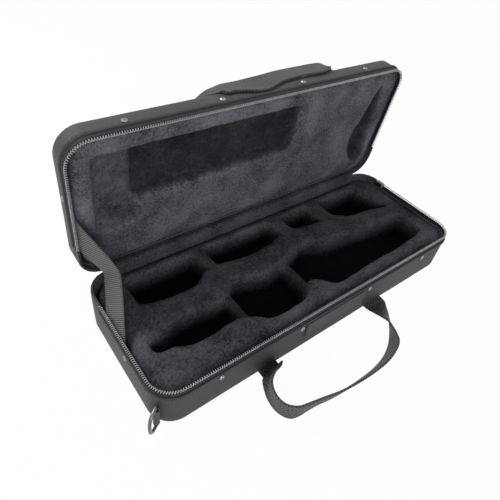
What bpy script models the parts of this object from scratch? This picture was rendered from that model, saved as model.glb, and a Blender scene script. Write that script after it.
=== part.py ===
"""A zipped soft case for a clarinet, standing open on a table.

The frame is the closed case's: +X runs along the case to its right end, -Y is the front with
the handles, +Y the hinged back, and Z = 0 is the underside of the tray. The lid is modelled
closed, under an empty on the hinge line that then turns it to the angle at which it stands.
"""
import math

import bmesh
import bpy
from mathutils import Matrix, Vector

# Case as a whole, in metres
CASE_LENGTH = 0.370
CASE_WIDTH = 0.138
TRAY_DEPTH = 0.046
LID_DEPTH = 0.025
CORNER_RADIUS = 0.022
EDGE_RADIUS = 0.004
SHELL_WALL = 0.003
OPEN_ANGLE = math.radians(85.0)
GAP = 0.0003
WELD = 0.00001

# Zipper, one half on each rim
COIL_RADIUS = 0.0013
COIL_INSET = 0.0012
TAPE_THICKNESS = 0.0010
TAPE_HEIGHT = 0.0036
ZIP_END = 0.0345
SLIDER_LENGTH = 0.0095
SLIDER_DEPTH = 0.0050
SLIDER_DROP = 0.0004
SLIDER_CLEARANCE = 0.0009
EAR_THICKNESS = 0.0012
EAR_REACH = 0.0032
EAR_HEIGHT = 0.0032
PULL_LENGTH = 0.026
PULL_DROP = 0.0050
PULL_WIDTH = 0.0060
PULL_THICKNESS = 0.0016
PULL_EDGE_SHARE = 0.9

# Fabric trim on the shell
BINDING_THICKNESS = 0.0008
BINDING_HEIGHT = 0.0034
HINGE_BAND_THICKNESS = 0.0020
PATCH_LENGTH = 0.078
PATCH_HEIGHT = 0.0185
PATCH_THICKNESS = 0.0010
PATCH_DROP = 0.0010
PATCH_EDGE_SHARE = 0.3

# Rivets through the walls
RIVET_RADIUS = 0.0026
RIVET_HEIGHT = 0.0011
RIVET_EYE_RADIUS = 0.0009
RIVET_EYE_DEPTH = 0.0006
RIVET_CROWN_RADIUS = 0.0018
RIVET_RIM = 0.0004
RIVET_FAR_INSET = 0.054
RIVET_NEAR = 0.045
TRAY_RIVET_DEPTH = 0.0135
LID_RIVET_DEPTH = 0.0132
LID_RIVET_SHIFT = -0.003
RIVET_END_SHIFT = -0.014

# Webbing of both handles
WEB_WIDTH = 0.025
WEB_THICKNESS = 0.0020
WEB_EDGE_SHARE = 0.45
HANDLE_SPAN = 0.139
TRAY_HANDLE_REACH = 0.0541
TRAY_HANDLE_SHIFT = -0.0075
LID_HANDLE_SHIFT = 0.0075
TAB_LENGTH = 0.0036
TAB_HEIGHT = 0.0026
LID_TAB_LENGTH = 0.018
LID_TAB_SETBACK = 0.0103

# Webbing strap that stays the lid
STAY_WIDTH = 0.035
STAY_THICKNESS = 0.0016
STAY_EDGE_SHARE = 0.35
STAY_TRAY_REACH = 0.0575
STAY_LID_REACH = 0.0485
STAY_TUCK = 0.011
STAY_FOLD = 0.016
STAY_SAG = 0.010

# Ring on its tab at the left front corner
RING_WIRE = 0.0014
RING_HALF_HEIGHT = 0.0131
RING_DEPTH = 0.0105
RING_TURN = math.radians(35.0)
RING_SQUARENESS = 0.5
RING_TAB_WIDTH = 0.021
RING_TAB_LAYER = 0.0010
RING_TAB_RISE = 0.0168
RING_TAB_REACH = 0.0042

# Boards and foam inside, covered in plush
BOARD_THICKNESS = 0.0020
BOARD_INSET = 0.0014
FLOOR_PAD_THICKNESS = 0.0042
FOAM_DROP = 0.0070
FOAM_ROUNDING = 0.0025
FOAM_GAP = 0.0004
SADDLE_HEIGHT = 0.018
LID_PAD_THICKNESS = 0.0125
LID_PAD_DROP = 0.0050
LID_STEP_THICKNESS = 0.0060
RIGHT_FOAM = 0.020
LEFT_FOAM = 0.032
BACK_FOAM = 0.013

# Counts
CORNER_STEPS = 8
CURVE_STEPS = 4
RIVET_STEPS = 14
STAY_STEPS = 7
HANDLE_STEPS = 2
RING_STEPS = 14

# Wells: x as a share of the right wells' reach, y as a share of the wells' half width
SPINE_BACK_SHARES = (
    (-0.921, 0.44), (-0.85, 0.36), (-0.72, 0.32), (-0.60, 0.34), (-0.51, 0.52), (-0.40, 0.54),
    (-0.30, 0.49), (-0.18, 0.46), (-0.02, 0.50), (0.08, 0.57), (0.20, 0.57), (0.31, 0.53),
    (0.41, 0.50), (0.56, 0.48), (0.64, 0.33), (0.80, 0.26), (0.92, 0.18), (0.98, 0.13),
)
SPINE_FRONT_SHARES = (
    (0.98, -0.20), (0.85, -0.15), (0.68, -0.10), (0.50, -0.02), (0.34, 0.03), (0.22, 0.16),
    (0.14, 0.20), (0.05, 0.11), (-0.08, 0.00), (-0.20, -0.05), (-0.30, 0.03), (-0.38, 0.11),
    (-0.45, 0.04), (-0.52, -0.14), (-0.62, -0.13), (-0.72, -0.10), (-0.82, -0.12), (-0.921, -0.24),
)
FRONT_RAIL_SHARES = (
    (-0.921, -0.48), (-0.86, -0.57), (-0.76, -0.62), (-0.62, -0.59), (-0.52, -0.60), (-0.44, -0.72),
    (-0.38, -0.86), (-0.24, -0.87), (-0.12, -0.83), (-0.06, -0.62), (0.00, -0.58), (0.05, -0.70),
    (0.11, -0.88), (0.24, -0.88), (0.45, -0.85), (0.70, -0.84), (0.90, -0.80), (0.98, -0.76),
)
# Each partition between the back wells: left face, right face and front end
PARTITION_SHARES = {
    "partition_left": (-0.485, -0.415, 0.565),
    "partition_middle": (0.090, 0.195, 0.600),
    "partition_right": (0.425, 0.545, 0.535),
}
# Each low saddle across the front well, by its corners
SADDLE_SHARES = {
    "saddle_left": ((-0.505, -0.58), (-0.445, -0.675), (-0.445, 0.02), (-0.505, -0.15)),
    "saddle_right": ((-0.055, -0.56), (0.005, -0.56), (0.005, 0.055), (-0.055, 0.00)),
}
LEFT_BAY_SHARES = ((-0.982, -0.48), (-1.003, -0.43), (-1.003, -0.30), (-0.982, -0.25))
RIGHT_BLOCK_SHARES = ((0.920, 1.0), (0.955, 0.55), (0.990, 0.12), (1.0, -0.20), (0.990, -0.78))

# Lid pad: x as a share of the wells' reach, depth from the hinge as a share of the case's width
LONG_RECESS_SHARES = ((-0.80, 0.51), (0.235, 0.51), (0.25, 0.86), (-0.80, 0.86))
STEP_RECESS_SHARES = ((-1.0, 0.33), (-0.80, 0.33), (-0.80, 0.86), (-1.0, 0.86))
END_RECESS_SHARES = (
    (0.975, 0.84), (0.945, 0.84), (0.885, 0.64), (0.825, 0.43), (0.865, 0.26), (0.950, 0.145),
    (1.030, 0.125), (1.040, 0.17), (1.010, 0.50),
)

# Handle stations: along and out as shares of span and reach, rise as a share of the webbing's
# width, then the direction across the webbing
TRAY_HANDLE_SHARES = (
    (-0.500, 0.000, 0.000, (1.00, 0.00, 0.00)), (-0.514, 0.052, 0.268, (0.78, 0.05, 0.62)),
    (-0.554, 0.107, 0.360, (0.52, 0.20, 0.83)), (-0.600, 0.181, 0.428, (0.25, 0.12, 0.96)),
    (-0.644, 0.329, 0.440, (0.08, -0.10, 0.99)), (-0.662, 0.486, 0.436, (-0.05, -0.20, 0.98)),
    (-0.658, 0.634, 0.424, (-0.17, -0.18, 0.97)), (-0.633, 0.754, 0.416, (-0.25, -0.12, 0.96)),
    (-0.583, 0.828, 0.412, (-0.25, 0.05, 0.97)), (-0.522, 0.856, 0.408, (-0.18, 0.14, 0.97)),
    (-0.435, 0.893, 0.404, (-0.10, 0.22, 0.96)), (-0.313, 0.957, 0.404, (-0.03, 0.28, 0.96)),
    (-0.126, 1.000, 0.400, (0.00, 0.30, 0.95)), (0.054, 0.998, 0.400, (0.00, 0.30, 0.95)),
    (0.183, 0.939, 0.400, (-0.05, 0.28, 0.96)), (0.277, 0.837, 0.392, (-0.20, 0.30, 0.93)),
    (0.342, 0.698, 0.360, (-0.42, 0.30, 0.85)), (0.388, 0.570, 0.320, (-0.58, 0.30, 0.75)),
    (0.421, 0.449, 0.288, (-0.68, 0.24, 0.69)), (0.453, 0.301, 0.200, (-0.84, 0.18, 0.51)),
    (0.482, 0.144, 0.090, (-0.96, 0.08, 0.25)), (0.496, 0.061, 0.030, (-0.99, 0.02, 0.08)),
    (0.500, 0.000, 0.000, (-1.00, 0.00, 0.00)),
)
LID_HANDLE_SHARES = (
    (-0.500, 0.000, 0.000, (1.00, 0.00, 0.00)), (-0.493, -0.012, 0.080, (0.99, 0.00, 0.10)),
    (-0.464, -0.048, 0.200, (0.93, 0.05, 0.30)), (-0.405, -0.048, 0.300, (0.45, 0.75, 0.45)),
    (-0.365, -0.028, 0.380, (0.00, 0.87, 0.46)), (-0.313, -0.008, 0.430, (-0.25, 0.85, 0.45)),
    (-0.191, 0.192, 0.430, (-0.24, 0.93, 0.26)), (-0.047, 0.212, 0.460, (-0.30, 0.92, 0.22)),
    (0.129, 0.052, 0.500, (-0.40, 0.84, 0.34)), (0.327, -0.068, 0.450, (-0.40, 0.86, 0.28)),
    (0.450, -0.068, 0.410, (-0.44, 0.84, 0.30)), (0.522, -0.068, 0.380, (-0.42, 0.82, 0.38)),
    (0.570, -0.076, 0.310, (-0.60, 0.50, 0.50)), (0.585, -0.068, 0.260, (-0.86, 0.15, 0.42)),
    (0.560, -0.036, 0.140, (-0.97, 0.03, 0.20)), (0.518, -0.012, 0.050, (-1.00, 0.00, 0.05)),
    (0.500, 0.000, 0.000, (-1.00, 0.00, 0.00)),
)
# Where each edge of the slack stay folds: share of the way from lid to tray, inward share of the
# fold, then back and up shares of the sag
STAY_FOLD_SHARES = {"outer": (0.50, 1.0, 0.0, 0.25), "inner": (0.50, 0.7, 0.55, 0.0)}

# Worked out from the sizes above
RIM = TRAY_DEPTH
HINGE = Vector((0.0, CASE_WIDTH / 2, RIM))
COIL_HEIGHT = 2 * COIL_RADIUS
ZIP_STAND = COIL_HEIGHT + GAP + TAPE_HEIGHT + GAP
INNER_X = CASE_LENGTH / 2 - SHELL_WALL - GAP
INNER_Y = CASE_WIDTH / 2 - SHELL_WALL - GAP
INNER_RADIUS = CORNER_RADIUS - SHELL_WALL - GAP
STAY_SLOT = STAY_THICKNESS + 2 * GAP
BOARD_TOP = SHELL_WALL + GAP + BOARD_THICKNESS
PAD_TOP = BOARD_TOP + GAP + FLOOR_PAD_THICKNESS
BLOCK_LOW = PAD_TOP + GAP
BLOCK_HIGH = RIM - FOAM_DROP
WELL_HALF_LENGTH = CASE_LENGTH / 2 - RIGHT_FOAM
WELL_LEFT = CASE_LENGTH / 2 - LEFT_FOAM
WELL_HALF_WIDTH = CASE_WIDTH / 2 - BACK_FOAM
RIVET_FAR = CASE_LENGTH / 2 - RIVET_FAR_INSET
TRAY, LID = -1, 1
ENDS = ((-1, "left"), (1, "right"))


def clear_scene():
    for existing in list(bpy.data.objects):
        bpy.data.objects.remove(existing, do_unlink=True)


def collection(name):
    made = bpy.data.collections.new(name)
    bpy.context.scene.collection.children.link(made)
    return made


def material(name, colour, roughness, metallic=0.0):
    made = bpy.data.materials.new(name)
    made.use_nodes = True
    shader = made.node_tree.nodes["Principled BSDF"]
    shader.inputs["Base Color"].default_value = (*colour, 1.0)
    shader.inputs["Roughness"].default_value = roughness
    shader.inputs["Metallic"].default_value = metallic
    return made


def pivot(name, place, parent=None):
    """An empty on a joint's axis, in the closed case's frame."""
    empty = bpy.data.objects.new(name, None)
    PARTS.objects.link(empty)
    empty.location = place
    if parent is not None:
        hang(empty, parent)
    return empty


def hang(child, empty):
    """Parents a child that is placed in the closed case's frame."""
    bpy.context.view_layer.update()
    child.parent = empty
    child.matrix_parent_inverse = empty.matrix_world.inverted()


def add(name, mesh, finish, empty=None):
    """A finished sub-part from a mesh in the closed case's frame, its origin on its pivot."""
    made = bpy.data.objects.new(name, mesh)
    mesh.materials.clear()
    mesh.materials.append(finish)
    PARTS.objects.link(made)
    if empty is not None:
        place = empty.matrix_world.translation.copy()
        mesh.transform(Matrix.Translation(-place))
        made.location = place
        hang(made, empty)
    return made


def evaluated_mesh(source):
    """The welded mesh of a curve or of an object with its modifiers."""
    bpy.context.view_layer.update()
    graph = bpy.context.evaluated_depsgraph_get()
    mesh = bpy.data.meshes.new_from_object(source.evaluated_get(graph))
    mesh.transform(source.matrix_world)
    bpy.data.objects.remove(source, do_unlink=True)
    welded = bmesh.new()
    welded.from_mesh(mesh)
    bmesh.ops.remove_doubles(welded, verts=welded.verts, dist=WELD)
    bmesh.ops.dissolve_degenerate(welded, edges=welded.edges, dist=WELD)
    bmesh.ops.recalc_face_normals(welded, faces=welded.faces)
    if welded.calc_volume(signed=True) < 0:
        bmesh.ops.reverse_faces(welded, faces=welded.faces)
    welded.to_mesh(mesh)
    welded.free()
    return mesh


def arc(centre, radius, start, end, steps=CORNER_STEPS):
    """Points of an arc from one angle to another, in degrees, both ends included."""
    points = []
    for step in range(steps + 1):
        angle = math.radians(start + (end - start) * step / steps)
        points.append((centre[0] + radius * math.cos(angle), centre[1] + radius * math.sin(angle)))
    return points


def rounded_outline(half_x, half_y, radius):
    x, y = half_x - radius, half_y - radius
    return (arc((x, y), radius, 0, 90) + arc((-x, y), radius, 90, 180)
            + arc((-x, -y), radius, 180, 270) + arc((x, -y), radius, 270, 360))


def front_path(inset, left_end, right_end):
    """Round the front of the case at an inset from its outer face, from the rear of the left end
    to the rear of the right one. The ends are distances from the hinge line."""
    x, y = CASE_LENGTH / 2 - inset, CASE_WIDTH / 2 - inset
    radius = CORNER_RADIUS - inset
    return ([(-x, HINGE.y - left_end)] + arc((-x + radius, -y + radius), radius, 180, 270)
            + arc((x - radius, -y + radius), radius, 270, 360) + [(x, HINGE.y - right_end)])


def back_path(inset, left_end, right_end):
    """The same round the back of the case."""
    x, y = CASE_LENGTH / 2 - inset, CASE_WIDTH / 2 - inset
    radius = CORNER_RADIUS - inset
    return ([(-x, HINGE.y - left_end)] + arc((-x + radius, y - radius), radius, 180, 90)
            + arc((x - radius, y - radius), radius, 90, 0) + [(x, HINGE.y - right_end)])


def strip(path, inset, thickness, left_end, right_end):
    """Outline of a strip of fabric that follows a path, its outer face at the inset."""
    outer = path(inset, left_end, right_end)
    inner = path(inset + thickness, left_end, right_end)
    return outer + inner[::-1]


def smooth_curve(points, steps=CURVE_STEPS, closed=False):
    """Points along a Catmull-Rom curve through the given points."""
    points = [Vector(point) for point in points]
    count = len(points)
    spans = count if closed else count - 1
    curve = []
    for span in range(spans):
        if closed:
            a, b, c, d = (points[(span + shift) % count] for shift in (-1, 0, 1, 2))
        else:
            a, b, c, d = (points[min(max(span + shift, 0), count - 1)] for shift in (-1, 0, 1, 2))
        for step in range(steps):
            t = step / steps
            curve.append(0.5 * (2 * b + (c - a) * t + (2 * a - 5 * b + 4 * c - d) * t ** 2
                                + (3 * b - a - 3 * c + d) * t ** 3))
    if not closed:
        curve.append(points[-1])
    return curve


def led_curve(start, start_way, end, end_way, steps):
    """Points from one place to another, leaving and arriving along the given ways."""
    points = []
    for step in range(steps + 1):
        t = step / steps
        points.append((2 * t ** 3 - 3 * t ** 2 + 1) * start + (t ** 3 - 2 * t ** 2 + t) * start_way
                      + (3 * t ** 2 - 2 * t ** 3) * end + (t ** 3 - t ** 2) * end_way)
    return points


def prism(outline, low, high, holes=()):
    """A flat outline, with holes, drawn up between two heights."""
    flat = bpy.data.curves.new("outline", "CURVE")
    flat.dimensions = "2D"
    flat.fill_mode = "BOTH"
    flat.extrude = (high - low) / 2
    for ring in (outline, *holes):
        spline = flat.splines.new("POLY")
        spline.points.add(len(ring) - 1)
        for point, place in zip(spline.points, ring):
            point.co = (place[0], place[1], 0.0, 1.0)
        spline.use_cyclic_u = True
    drawn = bpy.data.objects.new("outline", flat)
    bpy.context.scene.collection.objects.link(drawn)
    drawn.location.z = (low + high) / 2
    mesh = evaluated_mesh(drawn)
    tidy = bmesh.new()
    tidy.from_mesh(mesh)
    bmesh.ops.dissolve_limit(tidy, angle_limit=math.radians(0.5), verts=tidy.verts, edges=tidy.edges)
    tidy.to_mesh(mesh)
    tidy.free()
    return mesh


def round_rim(mesh, height, radius):
    """Rounds the edges round a face that lies at one height."""
    shape = bmesh.new()
    shape.from_mesh(mesh)
    rim = [edge for edge in shape.edges
           if all(abs(corner.co.z - height) < WELD for corner in edge.verts)
           and any(abs(face.normal.z) < 0.5 for face in edge.link_faces)]
    bmesh.ops.bevel(shape, geom=rim, offset=radius, segments=2, profile=0.5, affect="EDGES",
                    clamp_overlap=True)
    bmesh.ops.triangulate(shape, faces=[face for face in shape.faces if len(face.verts) > 4])
    shape.to_mesh(mesh)
    shape.free()
    return mesh


def wire(points, radius, closed=False):
    """A round wire or coil along points."""
    line = bpy.data.curves.new("wire", "CURVE")
    line.dimensions = "3D"
    line.bevel_depth = radius
    line.bevel_resolution = 2
    line.use_fill_caps = True
    spline = line.splines.new("POLY")
    spline.points.add(len(points) - 1)
    for point, place in zip(spline.points, points):
        point.co = (*place, 1.0)
    spline.use_cyclic_u = closed
    drawn = bpy.data.objects.new("wire", line)
    bpy.context.scene.collection.objects.link(drawn)
    return evaluated_mesh(drawn)


def ribbon(first_edge, second_edge, thickness, rounding):
    """A strap between two edges, given as equally many points, with rounded sides and ends."""
    sheet = bmesh.new()
    bmesh.ops.create_grid(sheet, x_segments=len(first_edge) - 1, y_segments=1, size=1.0)
    for corner in sheet.verts:
        station = round((corner.co.x + 1.0) / 2 * (len(first_edge) - 1))
        corner.co = first_edge[station] if corner.co.y < 0 else second_edge[station]
    mesh = bpy.data.meshes.new("strap")
    sheet.to_mesh(mesh)
    sheet.free()
    strap = bpy.data.objects.new("strap", mesh)
    bpy.context.scene.collection.objects.link(strap)
    solid = strap.modifiers.new("thickness", "SOLIDIFY")
    solid.thickness = thickness
    solid.offset = 0.0
    rounded = strap.modifiers.new("sides", "BEVEL")
    rounded.width = rounding
    rounded.segments = 2
    rounded.limit_method = "ANGLE"
    rounded.angle_limit = math.radians(60)
    return evaluated_mesh(strap)


def box(low, high, rounding=0.0):
    """A block between two corners, its edges rounded."""
    mesh = bpy.data.meshes.new("block")
    shape = bmesh.new()
    bmesh.ops.create_cube(shape, size=1.0)
    size = Vector(high) - Vector(low)
    bmesh.ops.scale(shape, vec=size, verts=shape.verts)
    bmesh.ops.translate(shape, vec=(Vector(high) + Vector(low)) / 2, verts=shape.verts)
    if rounding:
        bmesh.ops.bevel(shape, geom=list(shape.edges), offset=rounding, segments=2, profile=0.5,
                        affect="EDGES")
    shape.to_mesh(mesh)
    shape.free()
    return mesh


def shade_round(mesh):
    mesh.shade_smooth()
    mesh.set_sharp_from_angle(angle=math.radians(40))


def level(side, depth):
    """Height of a place on one half, by its depth from the mating plane of the two rims."""
    return RIM + side * depth


def span(side, near, far):
    """The same for two depths, lowest first."""
    return sorted((level(side, near), level(side, far)))


def half_shell(side, depth):
    """One half's shell: a panel with four walls, open at the rim."""
    low, high = span(side, ZIP_STAND, depth)
    shape = bmesh.new()
    bmesh.ops.create_cube(shape, size=1.0)
    bmesh.ops.scale(shape, vec=(CASE_LENGTH, CASE_WIDTH, high - low), verts=shape.verts)
    bmesh.ops.translate(shape, vec=(0, 0, (low + high) / 2), verts=shape.verts)
    open_face = [face for face in shape.faces if face.normal.z * side < -0.5]
    bmesh.ops.delete(shape, geom=open_face, context="FACES_ONLY")
    upright = [edge for edge in shape.edges if abs(edge.verts[0].co.z - edge.verts[1].co.z) > GAP]
    bmesh.ops.bevel(shape, geom=upright, offset=CORNER_RADIUS, segments=CORNER_STEPS, profile=0.5,
                    affect="EDGES")
    panel = level(side, depth)
    rim = [edge for edge in shape.edges
           if all(abs(corner.co.z - panel) < WELD for corner in edge.verts)]
    bmesh.ops.bevel(shape, geom=rim, offset=EDGE_RADIUS, segments=3, profile=0.5, affect="EDGES")
    mesh = bpy.data.meshes.new("shell")
    shape.to_mesh(mesh)
    shape.free()
    shell = bpy.data.objects.new("shell", mesh)
    bpy.context.scene.collection.objects.link(shell)
    wall = shell.modifiers.new("wall", "SOLIDIFY")
    wall.thickness = SHELL_WALL
    wall.offset = -1.0
    wall.use_even_offset = True
    return evaluated_mesh(shell)


def rivet_mesh():
    """A turned rivet head with a dimple, its base at the origin and its axis along +Z."""
    profile = (
        (0.0, RIVET_HEIGHT - RIVET_EYE_DEPTH), (RIVET_EYE_RADIUS, RIVET_HEIGHT - RIVET_EYE_DEPTH),
        (RIVET_EYE_RADIUS, RIVET_HEIGHT), (RIVET_CROWN_RADIUS, RIVET_HEIGHT),
        (RIVET_RADIUS, RIVET_RIM), (RIVET_RADIUS, 0.0), (0.0, 0.0),
    )
    line = bpy.data.meshes.new("profile")
    line.from_pydata([(x, 0.0, z) for x, z in profile],
                     [(step, step + 1) for step in range(len(profile) - 1)], [])
    head = bpy.data.objects.new("rivet", line)
    bpy.context.scene.collection.objects.link(head)
    turn = head.modifiers.new("turn", "SCREW")
    turn.steps = RIVET_STEPS
    turn.render_steps = RIVET_STEPS
    turn.use_merge_vertices = True
    turn.merge_threshold = WELD
    return evaluated_mesh(head)


def rivets(side, prefix, empty):
    """All rivets of one half, on the front wall and on the two ends."""
    height = level(side, TRAY_RIVET_DEPTH if side == TRAY else LID_RIVET_DEPTH)
    shift = 0.0 if side == TRAY else LID_RIVET_SHIFT
    places = []
    for number, x in enumerate((-RIVET_FAR, -RIVET_NEAR, RIVET_NEAR, RIVET_FAR), start=1):
        place = Vector((x + shift, -CASE_WIDTH / 2 - GAP, height))
        places.append((f"front_{number}", place, Vector((0, -1, 0))))
    for end, word in ENDS:
        place = Vector((end * (CASE_LENGTH / 2 + GAP), RIVET_END_SHIFT, height))
        places.append((word, place, Vector((end, 0, 0))))
    for name, place, outward in places:
        head = rivet_mesh()
        turn = outward.to_track_quat("Z", "Y").to_matrix().to_4x4()
        head.transform(Matrix.Translation(place) @ turn)
        shade_round(head)
        add(f"{prefix}_rivet_{name}", head, RIVET_FINISH, empty)


def coil(side):
    path = front_path(COIL_INSET, ZIP_END, ZIP_END)
    height = level(side, COIL_RADIUS + GAP / 2)
    return wire([(x, y, height) for x, y in path], COIL_RADIUS)


def rim_pieces(side, prefix, depth, empty):
    """Everything that the two halves have alike: shell, zipper half, trim and rivets."""
    add(prefix + "_shell", half_shell(side, depth), NYLON[prefix], empty)
    tape_inset = COIL_INSET - TAPE_THICKNESS / 2
    tape = strip(front_path, tape_inset, TAPE_THICKNESS, ZIP_END, ZIP_END)
    tape_near = COIL_HEIGHT + GAP
    add(prefix + "_zipper_tape", prism(tape, *span(side, tape_near, tape_near + TAPE_HEIGHT)),
        TAPE_FINISH, empty)
    teeth = coil(side)
    shade_round(teeth)
    add(prefix + "_zipper_coil", teeth, COIL_FINISH, empty)
    binding = strip(front_path, -GAP - BINDING_THICKNESS, BINDING_THICKNESS, ZIP_END, ZIP_END)
    add(prefix + "_rim_binding", prism(binding, *span(side, ZIP_STAND, ZIP_STAND + BINDING_HEIGHT)),
        BINDING_FINISH, empty)
    left_end = ZIP_END - GAP
    right_end = ZIP_END - SLIDER_LENGTH - 2 * SLIDER_CLEARANCE
    band = strip(back_path, 0.0, HINGE_BAND_THICKNESS, left_end, right_end)
    add(prefix + "_hinge_band", prism(band, *span(side, GAP / 2, ZIP_STAND - GAP)),
        BINDING_FINISH, empty)
    rivets(side, prefix, empty)


def well_place(share):
    return (share[0] * WELL_HALF_LENGTH, share[1] * WELL_HALF_WIDTH)


def foam(name, outline, top=BLOCK_HIGH):
    """A plush-covered foam block on the floor pad, its upper edges rounded."""
    mesh = round_rim(prism(outline, BLOCK_LOW, top), top, FOAM_ROUNDING)
    add(name, mesh, PLUSH)


def tray_lining():
    """Board, floor pad and the foam blocks that make the wells."""
    half_x, half_y = INNER_X - BOARD_INSET, INNER_Y - BOARD_INSET
    radius = INNER_RADIUS - BOARD_INSET
    base = rounded_outline(half_x, half_y, radius)
    add("tray_base_board", prism(base, SHELL_WALL + GAP, BOARD_TOP), BOARD)
    add("tray_floor_pad", prism(base, BOARD_TOP + GAP, PAD_TOP), PLUSH)
    left_x = -INNER_X + STAY_SLOT
    left_y = INNER_Y
    r = INNER_RADIUS
    left = (arc((left_x + r, left_y - r), r, 90, 180) + arc((left_x + r, -left_y + r), r, 180, 270)
            + [(-WELL_LEFT, -left_y), (-WELL_LEFT, well_place(LEFT_BAY_SHARES[0])[1])]
            + [well_place(share) for share in LEFT_BAY_SHARES]
            + [(-WELL_LEFT, well_place(LEFT_BAY_SHARES[-1])[1]), (-WELL_LEFT, left_y)])
    foam("end_block_left", left)
    right = (arc((INNER_X - r, -INNER_Y + r), r, 270, 360) + arc((INNER_X - r, INNER_Y - r), r, 0, 90)
             + [(well_place(RIGHT_BLOCK_SHARES[0])[0], INNER_Y)]
             + [well_place(share) for share in RIGHT_BLOCK_SHARES]
             + [(well_place(RIGHT_BLOCK_SHARES[-1])[0], -INNER_Y)])
    foam("end_block_right", right)
    rail_left = -WELL_LEFT + FOAM_GAP
    rail_right = well_place(RIGHT_BLOCK_SHARES[0])[0] - FOAM_GAP
    foam("back_rail", [(rail_left, WELL_HALF_WIDTH), (rail_right, WELL_HALF_WIDTH),
                       (rail_right, INNER_Y), (rail_left, INNER_Y)])
    front = [tuple(p) for p in smooth_curve([(*well_place(s), 0.0) for s in FRONT_RAIL_SHARES])]
    front[0] = (rail_left, front[0][1], 0.0)
    foam("front_rail", front + [(front[-1][0], -INNER_Y), (rail_left, -INNER_Y)])
    back_edge = smooth_curve([(*well_place(s), 0.0) for s in SPINE_BACK_SHARES])
    front_edge = smooth_curve([(*well_place(s), 0.0) for s in SPINE_FRONT_SHARES])
    spine = [(max(p[0], rail_left), p[1]) for p in back_edge + front_edge]
    foam("spine", spine)
    for name, (low, high, front_end) in PARTITION_SHARES.items():
        x0, y0 = well_place((low, front_end))
        x1, y1 = well_place((high, 1.0))
        y1 -= FOAM_GAP
        foam(name, [(x0, y0), (x1, y0), (x1, y1), (x0, y1)])
    for name, corners in SADDLE_SHARES.items():
        foam(name, [well_place(corner) for corner in corners], BLOCK_LOW + SADDLE_HEIGHT)


def lid_place(share):
    return (share[0] * WELL_HALF_LENGTH, HINGE.y - share[1] * CASE_WIDTH)


def lid_lining(empty):
    """Backing pad and the thick pad with its three recesses."""
    pad_low = RIM + LID_PAD_DROP
    pad_high = pad_low + LID_PAD_THICKNESS
    panel = RIM + LID_DEPTH - SHELL_WALL - GAP
    half_x, half_y = INNER_X - BOARD_INSET, INNER_Y - BOARD_INSET
    backing = rounded_outline(half_x, half_y, INNER_RADIUS - BOARD_INSET)
    add("lid_top_board", prism(backing, panel - BOARD_THICKNESS, panel), BOARD, empty)
    add("lid_backing_pad", prism(backing, pad_high + GAP, panel - BOARD_THICKNESS - GAP), PLUSH, empty)
    r = INNER_RADIUS
    left_x = -INNER_X + STAY_SLOT
    outline = (arc((INNER_X - r, INNER_Y - r), r, 0, 90) + arc((left_x + r, INNER_Y - r), r, 90, 180)
               + arc((left_x + r, -INNER_Y + r), r, 180, 270) + arc((INNER_X - r, -INNER_Y + r), r, 270, 360))
    step_low, step_high = STEP_RECESS_SHARES[0], STEP_RECESS_SHARES[2]
    long_recess = [lid_place(share) for share in LONG_RECESS_SHARES]
    window = ([lid_place(step_low), lid_place(STEP_RECESS_SHARES[1]), long_recess[0], long_recess[1],
               long_recess[2], lid_place((step_low[0], step_high[1]))])
    end_points = smooth_curve([(*lid_place(s), 0.0) for s in END_RECESS_SHARES], closed=True)
    end_recess = [(p[0], p[1]) for p in end_points]
    pad = prism(outline, pad_low, pad_high, holes=(window, end_recess))
    add("lid_pad", round_rim(pad, pad_low, FOAM_ROUNDING / 2), PLUSH, empty)
    x0, y1 = lid_place(step_low)
    x1, y0 = lid_place(step_high)
    step = box((x0 + FOAM_GAP, y0 + FOAM_GAP, pad_high - LID_STEP_THICKNESS),
               (x1, y1 - FOAM_GAP, pad_high))
    add("lid_recess_step", step, PLUSH, empty)


def handle(shares, reach, rise, axis_point, outward, upward):
    """A webbing loop from its table of stations, the two ends on the hinge axis."""
    centres = []
    acrosses = []
    for along, out, up, across in shares:
        centres.append(axis_point + Vector((along * HANDLE_SPAN, 0, 0)) + outward * (out * reach)
                       + upward * (up * rise))
        acrosses.append(Vector((across[0], 0, 0)) + outward * across[1] + upward * across[2])
    centres = smooth_curve(centres, HANDLE_STEPS)
    acrosses = [across.normalized() for across in smooth_curve(acrosses, HANDLE_STEPS)]
    half = WEB_WIDTH / 2
    first = [centre - across * half for centre, across in zip(centres, acrosses)]
    second = [centre + across * half for centre, across in zip(centres, acrosses)]
    mesh = ribbon(first, second, WEB_THICKNESS, WEB_THICKNESS * WEB_EDGE_SHARE)
    shade_round(mesh)
    return mesh


def tray_handle():
    """The handle's two sewn tabs at the foot of the front wall and the loop that swings on them."""
    tab_front = -CASE_WIDTH / 2 - GAP - TAB_LENGTH
    axis_y = tab_front - GAP - WEB_THICKNESS / 2
    half = WEB_WIDTH / 2
    for end, word in ENDS:
        x = TRAY_HANDLE_SHIFT + end * HANDLE_SPAN / 2
        tab = box((x - half, tab_front, TAB_HEIGHT - WEB_THICKNESS / 2),
                  (x + half, -CASE_WIDTH / 2 - GAP, TAB_HEIGHT + WEB_THICKNESS / 2))
        add("tray_handle_tab_" + word, tab, WEBBING)
    axis = Vector((TRAY_HANDLE_SHIFT, axis_y, TAB_HEIGHT))
    empty = pivot("tray_handle_pivot", axis)
    loop = handle(TRAY_HANDLE_SHARES, TRAY_HANDLE_REACH, WEB_WIDTH, axis, Vector((0, -1, 0)),
                  Vector((0, 0, 1)))
    add("tray_handle", loop, WEBBING, empty)


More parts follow.
